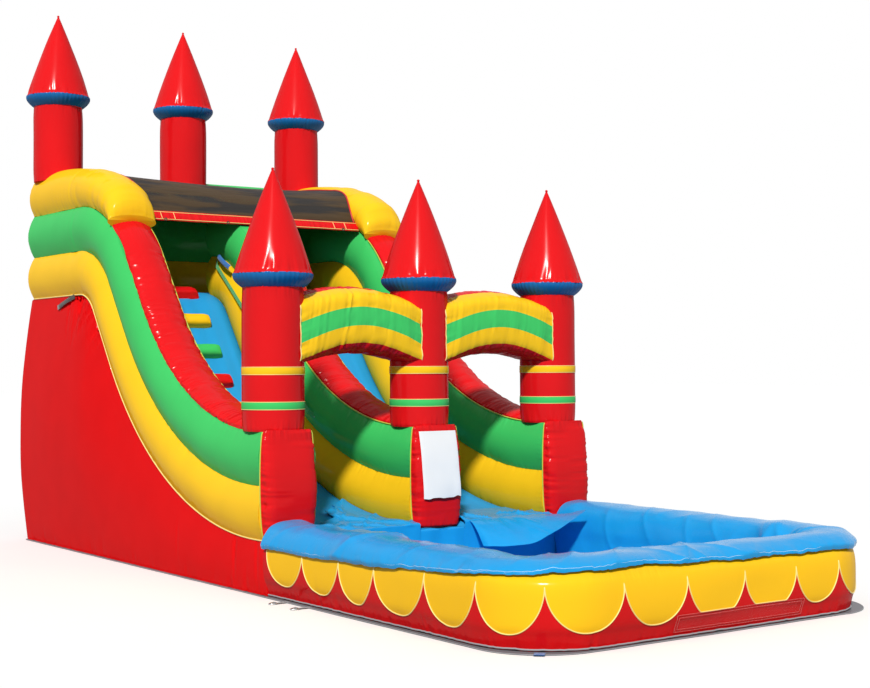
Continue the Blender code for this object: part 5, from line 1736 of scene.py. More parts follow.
@dataclass(frozen=True)
class Turret:
    """One castle turret: column, blue ring and red cone.

    Attributes:
        name: Row and side, as in the CAD nodes' names.
        x: Its middle.
        y: Its place along the slide.
        foot_z: Where its column begins.
        eave_z: Where its cone begins.
        seed: Its own random table.
    """

    name: str
    x: float
    y: float
    foot_z: float
    eave_z: float
    seed: int

    @property
    def front(self) -> bool:
        """Whether it stands on a wall's front end, with the red end panel under it."""
        return self.foot_z < 2

    def column(self, looks: Finishes) -> None:
        """Build the column, with the wall's end panel under a front one."""
        top = self.eave_z - RING_HEIGHT
        z = evenly(self.foot_z, top + 0.01, 0.012)
        turn = full_turn(120)
        gap = np.minimum(z - self.foot_z, top - z)[:, None]
        radius = COLUMN_RADIUS + 0.004 * smooth_step(gap / 0.15)
        radius = (
            radius
            - (0.007 if self.front else 0.0) * np.exp(-(((z - self.foot_z) / 0.010) ** 2))[:, None]
        )
        radius = radius + 1.2 * puckers(turn * 0.25, gap, 0.040, 0.008, 0.12, self.seed)
        radius = radius + 0.003 * cloth_noise(
            turn / (2 * math.pi) * 6, z[:, None] / 0.35, self.seed + 1
        )
        radius[:, -8:] += (radius[:, :1] - radius[:, -1:]) * np.linspace(0, 1, 8)
        piece = Piece(f"{self.name}_column_cover").skin(
            turned(radius, z, (self.x, self.y), 120), side_gap=FAR, end_gap=gap
        )
        if self.front:
            self.post(piece)
        settle(piece.finish(looks.red), f"{self.name}_column")

    def post(self, piece: Piece) -> None:
        """Add the red panel that closes the wall's front end."""
        z = evenly(POST_FOOT_Z, POST_TOP_Z, 0.009)
        half, depth = post_size(z[:, None])
        line = []
        for degrees in (0, 8, 22, 38, 54, 72, 90, 108, 126, 142, 158, 172, 180):
            cosine, sine = math.cos(math.radians(degrees)), math.sin(math.radians(degrees))
            across = math.copysign(abs(cosine) ** (2 / POST_POWERS[0]), cosine)
            out = -depth * max(sine, 0.0) ** (2 / POST_POWERS[1])
            line.append(np.concatenate([half * across, out], axis=1))
        section = curve_through(np.stack(line, -2), 57)
        points = grid_of(self.x + section[..., 0], POST_BACK + section[..., 1], z[:, None])
        column = np.arange(57)
        gap = from_ends(column) * 0.0085
        ends = from_ends(z)[:, None]
        corner = np.maximum(gap - 0.05, 0)
        relief = (
            puckers(z[:, None] + (column > 28), corner, 0.055, 0.032, 0.15, self.seed + 5)
            * smooth_step(gap / 0.03)
        )
        relief += puckers(column * 0.0085, ends, 0.05, 0.006, 0.06, self.seed + 6)
        piece.skin(pushed(points, relief, True), side_gap=gap, end_gap=ends)

    def ring(self, looks: Finishes) -> None:
        """Build the gathered blue ring under the cone."""
        share = np.linspace(0, 1, 19)
        turn = full_turn(240)
        folds = np.sin(46 * turn + 2.5 * cloth_noise(turn * 4, 0.5, self.seed + 11)) * 0.5 + 0.5
        depth = (
            (0.35 + 0.65 * np.abs(cloth_noise(turn * 7, 0.5, self.seed + 12))) * off_joint(turn, 20)
        )
        radius = COLUMN_RADIUS + 0.075 * np.sin(math.pi / 2 * share)[:, None]
        radius = (
            radius + 0.010 * np.sin(math.pi * share)[:, None] ** 0.7
            - 0.012 * folds * depth * (1 - 0.45 * np.sin(math.pi * share)[:, None])
        )
        z = self.eave_z - RING_HEIGHT + RING_HEIGHT * share
        piece = Piece(f"{self.name}_ring_cover").skin(
            turned(radius, z, (self.x, self.y), 240), end_gap=0.0
        )
        settle(piece.finish(looks.ring_blue), f"{self.name}_ring")

    def cone(self, looks: Finishes) -> None:
        """Build the cone, gathered at its hem and with a small knot at its tip."""
        share = np.concatenate([[0.0], np.linspace(0.004, 0.10, 22), np.linspace(0.11, 0.985, 70)])
        turn = full_turn(160)
        radius = CONE_RADIUS * (1 - share) ** 0.94 * (1 + 0.03 * np.sin(math.pi * share))
        radius = radius + 0.006 * np.exp(-((share / 0.02) ** 2))
        z = self.eave_z - 0.004 + (CONE_HEIGHT + 0.004) * share
        gap = (z - self.eave_z)[:, None]
        around = puckers(turn * CONE_RADIUS, np.maximum(gap, 0), 0.055, 0.022, 0.11, self.seed + 21)
        around = around * off_joint(turn, 12)
        swell = (
            0.003 * cloth_noise(turn / (2 * math.pi) * 5, share[:, None] * 3, self.seed + 22)
            * off_joint(turn, 4)
        )
        grid = turned(radius[:, None] + around + swell, z, (self.x, self.y), 160)
        piece = Piece(f"{self.name}_cone_cover").skin(grid, end_gap=np.maximum(gap, 0))
        angle = np.linspace(-math.pi / 2, math.pi / 2, 12)
        knot = turned(
            0.0005 + 0.012 * np.cos(angle),
            self.eave_z + CONE_HEIGHT - 0.012 + 0.012 * np.sin(angle),
            (self.x, self.y),
            20,
        )
        piece.skin(knot)
        settle(piece.finish(looks.red), f"{self.name}_cone")

    def bands(self, looks: Finishes, trims: TrimBook) -> None:
        """Build the two coloured tapes sewn round a front column."""
        for name, finish, low, high in (
            ("yellow", looks.yellow, 1.74, 1.80), ("green", looks.green, 1.46, 1.52)
        ):
            z = np.array([low, low, low + 0.004, (low + high) / 2, high - 0.004, high, high])
            radii = COLUMN_RADIUS + np.array([0.0, 0.0055, 0.0075, 0.0085, 0.0075, 0.0055, 0.0])
            piece = Piece(f"{self.name}_{name}_band").skin(
                turned(radii, z, (self.x, self.y), 120), ends=(False, False), side_gap=0.02
            )
            settle(piece.finish(finish))
            for edge in (low, high):
                reach = np.array([COLUMN_RADIUS + 0.006])
                path = turned(reach, np.array([edge]), (self.x, self.y), 90)[0]
                trims.note(Trim.PALE_PIPING, path, 0.003, closed=True)

    def build(self, looks: Finishes, trims: TrimBook) -> None:
        """Build the whole turret."""
        self.column(looks)
        self.ring(looks)
        self.cone(looks)
        if self.front:
            self.bands(looks, trims)
            for side in (-1, 1):
                z = evenly(0.44, 1.286, 0.02)
                x = self.x + side * (post_size(z)[0] + 0.002)
                trims.note(Trim.LIME_PIPING, grid_of(x, POST_BACK - 0.002, z), 0.005)


# An arch: its underside's and its top's height at the ends and how far each rises in the
# middle, its front and back, and the green stripe on its front as shares of its height
ARCH_LOW = (1.82, 0.155)
ARCH_HIGH = (1.85 + 0.475, 0.095)
ARCH_DEPTH = (-0.225, 0.175)
ARCH_STRIPE = (0.385, 0.745)


@dataclass(frozen=True)
class Arch:
    """One arch between two front turrets: striped front, red top and underside.

    Attributes:
        name: The piece's name, which is also its CAD node's.
        x: Its middle.
        seed: Its own random table.
    """

    name: str
    x: float
    seed: int

    def build(self, looks: Finishes, trims: TrimBook) -> None:
        """Build the arch and note the piping on its free ends."""
        share = np.linspace(0.0, 1.0, 130)
        lift = np.sin(math.pi * share)
        low = ARCH_LOW[0] + ARCH_LOW[1] * lift
        high = ARCH_HIGH[0] + ARCH_HIGH[1] * lift
        swell = 0.03 * np.minimum(1.0, lift * 2 + 0.25)
        tall = high - low
        front, back = ARCH_DEPTH
        span = back - front
        controls = [
            (back + 0 * lift, low + tall * 0.10),
            (back + swell, low + tall * 0.5),
            (back + swell * 0.2, high - tall * 0.03 + swell * 0.5),
            (back - 0.25 * span + 0 * lift, high + swell * 2.0),
            (front + 0.25 * span + 0 * lift, high + swell * 0.9),
            (front + 0 * lift, high - tall * 0.06),
            (front - swell * 0.6, high - tall * (0.36 - 0.06 * lift)),
            (front - swell * 0.8, low + tall * (0.31 + 0.04 * lift)),
            (front + 0 * lift, low + tall * 0.05),
            (front + 0.25 * span + 0 * lift, low - 0.01 - 0.045 * lift),
            (back - 0.25 * span + 0 * lift, low - 0.01 - 0.045 * lift),
        ]
        rings = np.stack([np.stack(pair, -1) for pair in controls], -2)
        section = curve_through(rings, 132, closed=True)
        x = self.x + (WALL_SPACING - 0.25) * (share - 0.5)
        points = grid_of(x[:, None], section[..., 0], section[..., 1])
        up = (section[65, :, 1] - low[65]) / tall[65]
        ahead = section[65, :, 0] - front
        facing = (ahead < 0.04) | ((ahead < 0.15) & (up > 0.5))
        low_line, high_line = ARCH_STRIPE
        stripe = np.where((up >= low_line) & (up < high_line), 2, 1)
        slot = np.where(facing & (up > 0.06), stripe, 0)
        column = np.arange(132)
        near_line = np.minimum(np.abs(up - low_line), np.abs(up - high_line)) * 0.45
        edges = np.minimum(np.abs(up - 0.0), np.abs(up - 0.95)) * 0.45
        side_gap = np.where(facing, np.minimum(near_line + 0.015, edges), 0.03)
        end_gap = from_ends(x)[:, None]
        relief = puckers(x[:, None] + 0.3 * column / 132, side_gap, 0.060, 0.018, 0.10, self.seed)
        relief += (
            0.006 * np.minimum(0, cloth_noise(x[:, None] / 0.08, up * 1.4, self.seed + 1)) * facing
        )
        relief += puckers(up * 0.5, end_gap, 0.05, 0.014, 0.12, self.seed + 2) * facing
        points = pushed(points, relief, True)
        piece = Piece(f"{self.name}_cover").skin(
            points, slot=slot, side_gap=side_gap, end_gap=end_gap
        )
        settle(
            piece.finish(looks.red, looks.yellow, looks.green, crease=40), self.name
        )
        for end in (0, -1):
            path = points[end][facing & (up > 0.05)]
            trims.note(Trim.PALE_PIPING, path + np.array([0, -0.004, 0]), 0.005)


class Roof(Assembly):
    """The dark net over the platform and the red hem band along its front."""

    def half_width(self, up: float, height: float) -> float:
        """Return a top tube's half width at a height over its seam."""
        section = tube_section(np.array([height]))[0][:25]
        return float(np.interp(up, section[:, 1], section[:, 0]))

    def build(self) -> None:
        """Build the net and its band."""
        front = TUBE_START + 0.25 / SEAM_STRETCH
        rear_half = self.half_width(TOP_TUBE_HEIGHT * 0.88, TOP_TUBE_HEIGHT)
        rear = RUN.level_at(REAR_WALL_Y - rear_half + 0.01)
        at = np.unique(
            np.concatenate([evenly(front, RUN.at_deck, 0.004), evenly(RUN.at_deck, rear, 0.02)])
        )
        share = np.linspace(-1, 1, 150)
        rows = []
        for here in at:
            height = float(top_tube_height(here + 0.007))
            gone = (
                (min(here, RUN.at_deck) - TUBE_START) * SEAM_STRETCH + max(here - RUN.at_deck, 0.0)
            )
            climbed = min(max((gone - 0.20) / 0.60, 0.0), 1.0)
            up = 0.88 * (1 - (1 - climbed) ** 3) * height
            ease = float(
                smooth_step((here - front) / (RUN.at_deck - front))
                * smooth_step((rear - here) / 0.60)
            )
            half = WALL_SPACING - self.half_width(up, height) + 0.012
            fold = (
                0.012 * np.sin(4 * (gone + 0.6 * share))
                + 0.006 * cloth_noise(share * 3, gone * 5, 301)
            )
            rows.append(
                RUN.place(
                    here, TOP_SEAM + up - (0.055 - fold) * (1 - share**2) * ease, share * half
                )
            )
        points = np.stack(rows)
        inward = running(points, 0)[:, None]
        piece = Piece("roof_net_cloth")
        piece.skin(points, ring=False, facing=(0, -0.3, 1), side_gap=inward)
        made = settle(piece.finish(self.finishes.net, thick=0.004), "roof_net")
        tubes = ("left_top_tube", "right_top_tube", "rear_beam")
        declare_sheet(made, 2.62, "stretched", *tubes, spare=1.0)
        for column in (1, -2):
            self.trims.note(Trim.RED_PIPING, points[:, column] + np.array([0, 0, 0.008]), 0.009)
        self.band(points[0])

    def band(self, edge: Array) -> None:
        """Build the red band under the net's front edge, its outlines and its ties."""
        x = evenly(edge[0, 0], edge[-1, 0], 0.012)
        y, z = float(edge[0, 1]), float(edge[0, 2])
        low_y, low_z = y - 0.060, z - 0.085
        controls = np.array(
            [
                (y - 0.005, z),
                (y - 0.019, z - 0.005),
                ((y + low_y) / 2 - 0.0224, (z + low_z) / 2),
                (low_y - 0.014, low_z),
                (low_y, low_z),
            ]
        )
        section = curve_through(controls, 24, closed=True)
        points = grid_of(x[:, None], section[:, 0], section[:, 1])
        relief = 0.003 * cloth_noise(x[:, None] / 0.12, np.arange(24) / 9, 311)
        piece = Piece("roof_band_cover").skin(pushed(points, relief, True), side_gap=0.02)
        settle(piece.finish(self.finishes.red, crease=40), "roof_band")
        ends = x[-1]
        for share in (0.06, 0.94):
            out = 0.017 + 0.006 * math.sin(math.pi * share)
            middle = (y - out + (low_y - y) * share, z + (low_z - z) * share)
            self.trims.note(Trim.PALE_PIPING, grid_of(evenly(-ends, ends, 0.02), *middle), 0.0035)
        for side in (-1, 1):
            for reach in (0.16, 0.30):
                share = np.linspace(0.06, 0.94, 8)
                place = (y - 0.025 + (low_y - y) * share, z + (low_z - z) * share)
                line = grid_of(side * (ends - reach), *place)
                self.trims.note(Trim.PALE_PIPING, line, 0.003)
        ties = Piece("roof_band_ties")
        for place in (-0.42, -0.14, 0.14, 0.42):
            turn = full_turn(20)
            x, z = place * 2 * ends + 0.012 * np.cos(turn), low_z + 0.004 + 0.014 * np.sin(turn)
            ring = grid_of(x, low_y - 0.018, z)
            ties.skin(swept(ring, 0.004, 8, closed=True), ends=(False, False))
        settle(ties.finish(self.finishes.black_web))


@dataclass(frozen=True)
class Rail:
    """The inner line of the pool wall on three sides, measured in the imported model's stations."""

    straight: float = 9.0
    corner: float = 5.0
    front: float = 11.0
    rear_gap: float = FULL_GAP

    @property
    def last(self) -> float:
        """The last station."""
        return 2 * (self.straight + self.corner) + self.front

    def frame_at(self, station: Array) -> tuple[Array, Array, Array, Array]:
        """Return the line's place and its outward normal.

        Args:
            station: Stations, whole or between two, from the left rear round to the right rear.

        Returns:
            x, y, and the x and y of the normal.
        """
        turn_x, turn_y = POOL_INNER_X - POOL_CORNER, POOL_INNER_Y + POOL_CORNER
        rear = RUN.foot_y - self.rear_gap
        mirrored = station > self.last / 2
        i = np.where(mirrored, self.last - station, station)
        turn = math.pi + math.pi / 2 * np.clip((i - self.straight) / self.corner, 0, 1)
        nx, ny = np.cos(turn), np.sin(turn)
        ahead = np.maximum(i - self.straight - self.corner, 0)
        x = -turn_x + POOL_CORNER * nx + 2 * turn_x * ahead / self.front
        y = np.where(
            i < self.straight, rear + (turn_y - rear) * i / self.straight, turn_y + POOL_CORNER * ny
        )
        sign = np.where(mirrored, -1.0, 1.0)
        return x * sign, y, nx * sign, ny

    def stations(self, pitch: float) -> Array:
        """List stations about a pitch apart on the wall's outer side."""
        side = evenly(0, self.straight, pitch / 2.65 * self.straight)
        bend = evenly(self.straight, self.straight + self.corner, pitch / 1.0 * self.corner)
        middle = self.straight + self.corner + self.front
        front = evenly(self.straight + self.corner, middle, pitch / 2.18 * self.front)
        return np.unique(
            np.round(np.concatenate([side, bend, front, self.last - bend, self.last - side]), 7)
        )


POOL_OUTER_LENGTH = 9.49
# Height of the liner's underside on the ground sheet
FLOOR_Z = SHEET_THICK + 0.0005
# Height of the liner's hem along the wall's outer side
HEM_AT = (0.0, 0.9, 1.7, 2.2, 2.6, 3.2, 3.8, 4.35, 5.0, 5.9, 7.5, 9.5)
HEM_Z = (0.378, 0.388, 0.410, 0.435, 0.462, 0.497, 0.505, 0.490, 0.478, 0.468, 0.450, 0.420)
# The clear pocket on the pool's front: its ends along the wall, its foot and its top
POCKET = (4.25, 5.50, 0.045, 0.165)


def pool_section(half_turns: Array | float, grow: float = 0.0) -> tuple[Array, Array]:
    """Return the pool wall's section: how far out and how high, by half turns from its outside."""
    turn = math.pi * np.asarray(half_turns)
    power = 2 / 2.8
    half = POOL_TUBE_WIDTH / 2
    out = half + np.sign(np.cos(turn)) * (half + grow) * np.abs(np.cos(turn)) ** power
    tall = np.where(np.sin(turn) > 0, POOL_TUBE_HEIGHT - POOL_BELLY_Z, POOL_BELLY_Z)
    return out, POOL_BELLY_Z + np.sign(np.sin(turn)) * (tall + grow) * np.abs(np.sin(turn)) ** power


class Pool(Assembly):
    """The inflated pool wall with its scallops, the clear pocket, the liner and the flap."""

    def wall_grid(self) -> Array:
        """Return the pool wall's rings, each from its outer foot over the crown."""
        station = Rail().stations(0.014)
        x, y, nx, ny = Rail().frame_at(station)
        out, up = pool_section(
            np.array([-0.18, -0.06, 0.08, 0.21, 0.34, 0.50, 0.66, 0.79, 0.92, 1.06, 1.18])
        )
        section = [np.concatenate([[0.41], out, [0.05]]), np.concatenate([[FOOT_Z], up, [FOOT_Z]])]
        smooth = curve_through(np.stack(section, -1), 91)
        smooth[:, 1] = np.maximum(smooth[:, 1], FOOT_Z)
        x = x[:, None] + nx[:, None] * smooth[:, 0]
        y = y[:, None] + ny[:, None] * smooth[:, 0]
        ring = grid_of(x, y, smooth[:, 1])
        around = lengths(ring[:, 24])
        up_gap = running(ring, 1)
        relief = puckers(around[:, None], up_gap, 0.060, 0.012, 0.17, 401)
        relief += (
            0.008 * cloth_noise(around[:, None] / 0.5, up_gap / 0.25, 402)
            * smooth_step(up_gap / 0.15)
        )
        relief += puckers(around[:, None], np.maximum(0.50 - up_gap, 0), 0.050, 0.006, 0.10, 403)
        covered = smooth_step((up_gap - 0.44) / 0.05)
        relief = relief * (1 - covered) - 0.004 * covered
        return pushed(ring, relief, True)

    def scallops(self) -> tuple[Array, Array]:
        """Return the scallops' edge as distances along the wall's outer side and heights."""
        places = (
            0.05, 0.585, 1.09, 1.551, 2.166, 2.722, 3.214, 3.789, 4.352, 4.904, 5.42, 5.882, 6.446
        )
        places += (6.98, 7.51, 8.04, 8.57, 9.10, 9.60)
        heights = (
            0.37, 0.375, 0.39, 0.40, 0.405, 0.41, 0.405, 0.40, 0.395, 0.385, 0.375, 0.385, 0.40
        )
        depths = (0.12, 0.115, 0.105, 0.10, 0.10, 0.11, 0.12, 0.12, 0.11, 0.11, 0.12, 0.13, 0.13)
        ends = [(place, heights[min(i, 12)] + 0.015) for i, place in enumerate(places)]
        along, edge = [], []
        for number, ((start, z_start), (end, z_end)) in enumerate(zip(ends, ends[1:])):
            t = np.sin(np.linspace(-math.pi / 2, math.pi / 2, 60))
            bottom = depths[number % len(depths)]
            cusp = z_start + (z_end - z_start) * (t + 1) / 2
            along.append((start + end) / 2 + (end - start) / 2 * t)
            edge.append(cusp - (cusp - bottom) * np.maximum(0, 1 - np.abs(t) ** 2.1) ** (1 / 1.9))
        along, edge = np.concatenate(along), np.concatenate(edge)
        behind = (along > POCKET[0]) & (along < POCKET[1])
        return along, np.where(behind, np.maximum(edge, POCKET[3]), edge)

    def wall(self) -> None:
        """Build the pool wall, the scallops' piping and the pocket."""
        grid = self.wall_grid()
        around = lengths(grid[:, 24])
        around *= POOL_OUTER_LENGTH / around[-1]
        up = running(grid, 1)
        height = grid[:, :, 2].mean(axis=0)
        along, edge = self.scallops()
        edge_up = np.interp(edge, height[:46], up[:46])
        tree = KDTree(len(along))
        for index, (a, b) in enumerate(zip(along, edge_up)):
            tree.insert((a, b, 0.0), index)
        tree.balance()
        limit = np.interp(around, along, edge_up)
        pattern = np.full(grid.shape[:2], 0.3)
        for i, a in enumerate(around):
            for j in range(46):
                away = tree.find((a, up[j], 0.0))[2]
                pattern[i, j] = away if up[j] > limit[i] else -away
        side_gap = np.minimum(up, np.abs(up - 0.50))
        piece = Piece("pool_wall_cover").skin(grid, side_gap=side_gap, pattern=pattern)
        settle(piece.finish(self.finishes.scalloped), "pool_wall")
        inside = (along > around[0]) & (along < around[-1])
        line = self.on_wall(grid, around, up, along[inside], edge_up[inside], 0.002)
        self.trims.note(Trim.PALE_PIPING, line, 0.0045)
        foot = self.on_wall(grid, around, up, around[::2], np.full(len(around[::2]), 0.012), 0.004)
        self.trims.note(Trim.SHEET_EDGE, foot, 0.006)
        self.pocket(grid, around, up)

    def on_wall(
        self, grid: Array, around: Array, up: Array, along: Array, over: Array, off: float
    ) -> Array:
        """Return points on the pool wall's skin.

        Args:
            grid: The wall's rings.
            around: Distance along the wall at each ring.
            up: Distance up the section at each column.
            along: Wanted distances along the wall.
            over: Wanted distances up the section.
            off: How far to stand off the skin.

        Returns:
            One point for each pair of distances.
        """
        skin = pushed(grid, off, True)
        row = np.interp(along, around, np.arange(len(around)))
        column = np.interp(over, up, np.arange(len(up)))
        i = np.minimum(row.astype(int), len(around) - 2)
        j = np.minimum(column.astype(int), len(up) - 2)
        f, g = (row - i)[..., None], (column - j)[..., None]
        low = skin[i, j] * (1 - f) + skin[i + 1, j] * f
        high = skin[i, j + 1] * (1 - f) + skin[i + 1, j + 1] * f
        return low * (1 - g) + high * g

    def pocket(self, grid: Array, around: Array, up: Array) -> None:
        """Build the clear pocket welded to the pool's front, with its double outline."""
        left, right, foot, top = POCKET
        a, b = np.meshgrid(np.linspace(left, right, 90), np.linspace(foot, top, 12), indexing="ij")
        points = self.on_wall(grid, around, up, a, b, 0.006)
        out = Piece("document_pocket").skin(points, ring=False, facing=(0, -1, 0), side_gap=0.01)
        made = settle(out.finish(self.finishes.clear, thick=0.001))
        declare_sheet(made, right - left, "laid", "pool_wall", length=1.1 * (top - foot))
        for inset in (0.0, 0.022):
            low, high = foot + inset * 0.8, top - inset * 0.8
            start, end = left + inset, right - inset
            along = np.concatenate(
                [
                    np.linspace(start, end, 60),
                    np.full(8, end),
                    np.linspace(end, start, 60),
                    np.full(8, start),
                ]
            )
            over = np.concatenate(
                [
                    np.full(60, low),
                    np.linspace(low, high, 8),
                    np.full(60, high),
                    np.linspace(high, low, 8),
                ]
            )
            line = self.on_wall(grid, around, up, along, over, 0.009)
            self.trims.note(Trim.WELD, line, 0.0015, closed=True)

    def over_wall(self) -> Array:
        """Return the liner's points over the wall: from the floor over the crown to the hem."""
        station = Rail(rear_gap=0.01).stations(0.016)
        x, y, nx, ny = Rail(rear_gap=0.01).frame_at(station)
        wave = 0.6 * np.sin(2.1 * station) + 0.4 * np.sin(0.83 * station + 1.0)
        after = 0.6 * np.sin(2.1 * (station + 1)) + 0.4 * np.sin(0.83 * (station + 1) + 1.0)
        fold = 0.016 * (0.5 + 0.5 * np.sin(1.7 * station))
        floor = FLOOR_Z
        zero = 0 * fold
        line = [
            (-0.05 - fold, floor + zero),
            (-0.016 - fold, POOL_BELLY_Z * 0.5 + zero),
            (-0.002 - fold / 3, POOL_BELLY_Z + zero),
        ]
        gone = running(
            np.stack([x + nx * POOL_TUBE_WIDTH, y + ny * POOL_TUBE_WIDTH, zero], -1)[:, None], 0
        )
        ragged = (
            0.006 * cloth_noise(station / 0.28, 0.5, 431)
            + 0.004 * cloth_noise(station / 0.11, 0.5, 432)
        )
        hem_z = np.interp(gone, HEM_AT, HEM_Z) + 0.006 * wave + ragged
        hem_turn = np.arcsin(np.clip((hem_z - POOL_BELLY_Z) / 0.304, 0, 1) ** 1.4) / math.pi
        for share in (0.0, 0.18, 0.36, 0.54, 0.70, 0.86):
            line.append(pool_section(0.92 + (hem_turn - 0.92) * share, 0.009))
        out, up = pool_section(hem_turn, 0.016)
        line.append((out + 0.005 * (1 + after) + 0.6 * ragged, up))
        limits = (0.082, 0.05, 0.008) + (0.0,) * 7
        controls = []
        for (out, up), limit in zip(line, limits):
            ahead = np.minimum(y + ny * out, RUN.foot_y - limit)
            controls.append(grid_of(x + nx * out, ahead, up))
        points = curve_through(np.stack(controls, 1), 78)
        around = lengths(points[:, 60])[:, None]
        over = running(points, 1)
        hem = over[-1] - over
        slant = around + 0.8 * over
        lean = around - 0.6 * over
        full = smooth_step(over / 0.15) * smooth_step(hem / 0.02)
        busy = 0.35 + 0.65 * smooth_step(cloth_noise(around / 0.9, 0.5, 441) * 2 + 0.4)
        # Folds stand up as ridges where the sheet has been pushed together
        inner = 1 - smooth_step((over - 0.55) / 0.12)
        tall = 0.016 + 0.020 * inner
        relief = tall * (1 - np.abs(cloth_noise(slant / 0.34, over / 0.9, 442))) ** 4 * full * busy
        relief += (
            0.7 * tall * (1 - np.abs(cloth_noise(lean / 0.26, over / 0.6, 443))) ** 5 * full * busy
        )
        relief += 0.010 * (1 + cloth_noise(around / 0.4, over / 0.3, 444)) * full
        relief += (
            (0.010 + puckers(around, hem, 0.055, 0.010, 0.12, 445)) * smooth_step(hem / 0.01)
            * (1 - smooth_step(hem / 0.2))
        )
        return pushed(points, relief + 0.003, False, (0, 0, 1))

    def zone(
        self, low: float, high: float, height: float, length: Array, seed: int
    ) -> tuple[Array, Array]:
        """Return one part of the liner's rear side: up from the floor and into a lane.

        Args:
            low: Left edge of the part.
            high: Right edge of the part.
            height: How high over the run line it lies.
            length: How far it runs in, one for each line across.
            seed: Its own random table.

        Returns:
            The grid, and its distances from the free edge.
        """
        x = np.linspace(low, high, len(length))
        front = RUN.foot_y - 0.0005
        floor = FLOOR_Z
        fold = 0.010 * (0.5 + 0.5 * np.sin(9 * x))
        rise = [
            (front - 0.05 - fold, floor),
            (front - 0.016 - fold, POOL_BELLY_Z * 0.5),
            (front - 0.003 - fold / 3, POOL_BELLY_Z),
        ]
        rise += [
            (front - 0.004, RUN.foot_z + height - 0.02),
            (front - 0.001, RUN.foot_z + height - 0.004),
        ]
        wall = [grid_of(x, y, z) for y, z in rise]
        lane = [
            RUN.place(length * share, height, x) for share in (0.02, 0.12, 0.3, 0.5, 0.7, 0.88, 1.0)
        ]
        points = curve_through(np.stack(wall + lane, 1), 90)
        over = running(points, 1)
        gap = (over[-1] - over)[None, :]
        relief = 0.008 * cloth_noise(x[:, None] / 0.13, over / 0.5, seed) * smooth_step(over / 0.2)
        pushed_up = smooth_step((over - 0.45) / 0.1)
        relief += (
            0.016 * np.maximum(0, cloth_noise(x[:, None] / 0.09, over / 0.16, seed + 1)) * pushed_up
        )
        slant = x[:, None] + 0.5 * over
        relief += (
            0.030 * (1 - np.abs(cloth_noise(slant / 0.22, over / 0.5, seed + 2))) ** 6 * pushed_up
        )
        relief += 0.020 * (
            1 - np.abs(cloth_noise((x[:, None] - 1.5 * over) / 0.30, over / 0.35, seed + 3))
        ) ** 8 * pushed_up
        return pushed(points, relief + 0.002, False, (0, -0.3, 1)), gap

    def liner(self) -> None:
        """Build the loose liner as one sheet."""
        piece = Piece("pool_liner_cloth")
        rim = self.over_wall()
        over = running(rim, 1)
        hem = (over[-1] - over)[None, :]
        piece.skin(rim, ring=False, facing=(0, 0, 1), side_gap=hem)
        lane_low, lane_high = LANE_X - LANE_HALF + 0.04, LANE_X + LANE_HALF - 0.04
        share = np.linspace(0, 1, 80)
        steps = np.interp(
            share,
            (0, 0.12, 0.30, 0.32, 0.56, 0.58, 0.78, 0.80, 1.0),
            (0.10, 0.26, 0.40, 0.52, 0.66, 0.86, 0.98, 1.10, 1.20),
        )
        ragged = 0.015 * cloth_noise(share * 17, 0.5, 451)
        zones = [(-lane_high, -lane_low, BED_THICK + 0.0025, steps + ragged, 461)]
        wavy = np.full(60, 0.30) + 0.01 * np.sin(np.linspace(0, 20, 60))
        zones.append((lane_low, lane_high, BED_THICK + 0.0015, wavy, 463))
        zones.append((-lane_low, lane_low, 0.0025, np.full(40, 0.045), 465))
        zones.append((-1.262, -lane_high, 0.0025, np.full(6, 0.04), 467))
        zones.append((lane_high, 1.262, 0.0025, np.full(6, 0.04), 469))
        for low, high, height, length, seed in zones:
            points, gap = self.zone(low, high, height, length, seed)
            piece.skin(points, ring=False, facing=(0, -0.3, 1), side_gap=gap)
        x, y = np.meshgrid(
            np.linspace(-1.30, 1.30, 60),
            np.linspace(POOL_INNER_Y - 0.03, RUN.foot_y - 0.05, 60),
            indexing="ij",
        )
        floor = grid_of(x, y, FLOOR_Z)
        floor[..., 2] += 0.004 + 0.004 * cloth_noise(x / 0.3, y / 0.3, 471)
        piece.skin(floor, ring=False, facing=(0, 0, 1))
        made = settle(
            piece.finish(self.finishes.liner_blue, thick=0.0035), "pool_liner"
        )
        rests = ("pool_wall", "ground_sheet", "climb_bed", "slide_bed")
        declare_sheet(made, 3.95, "laid", *rests, length=5.05)
        for inset in (0.010, 0.020):
            column = int(np.argmin(np.abs(hem[0] - inset)))
            line = rim[:, column]
            line = line + (line - line.mean(axis=0)) * 0.001 + np.array([0, 0, 0.004])
            self.trims.note(Trim.STITCHES, line, 0.0016)

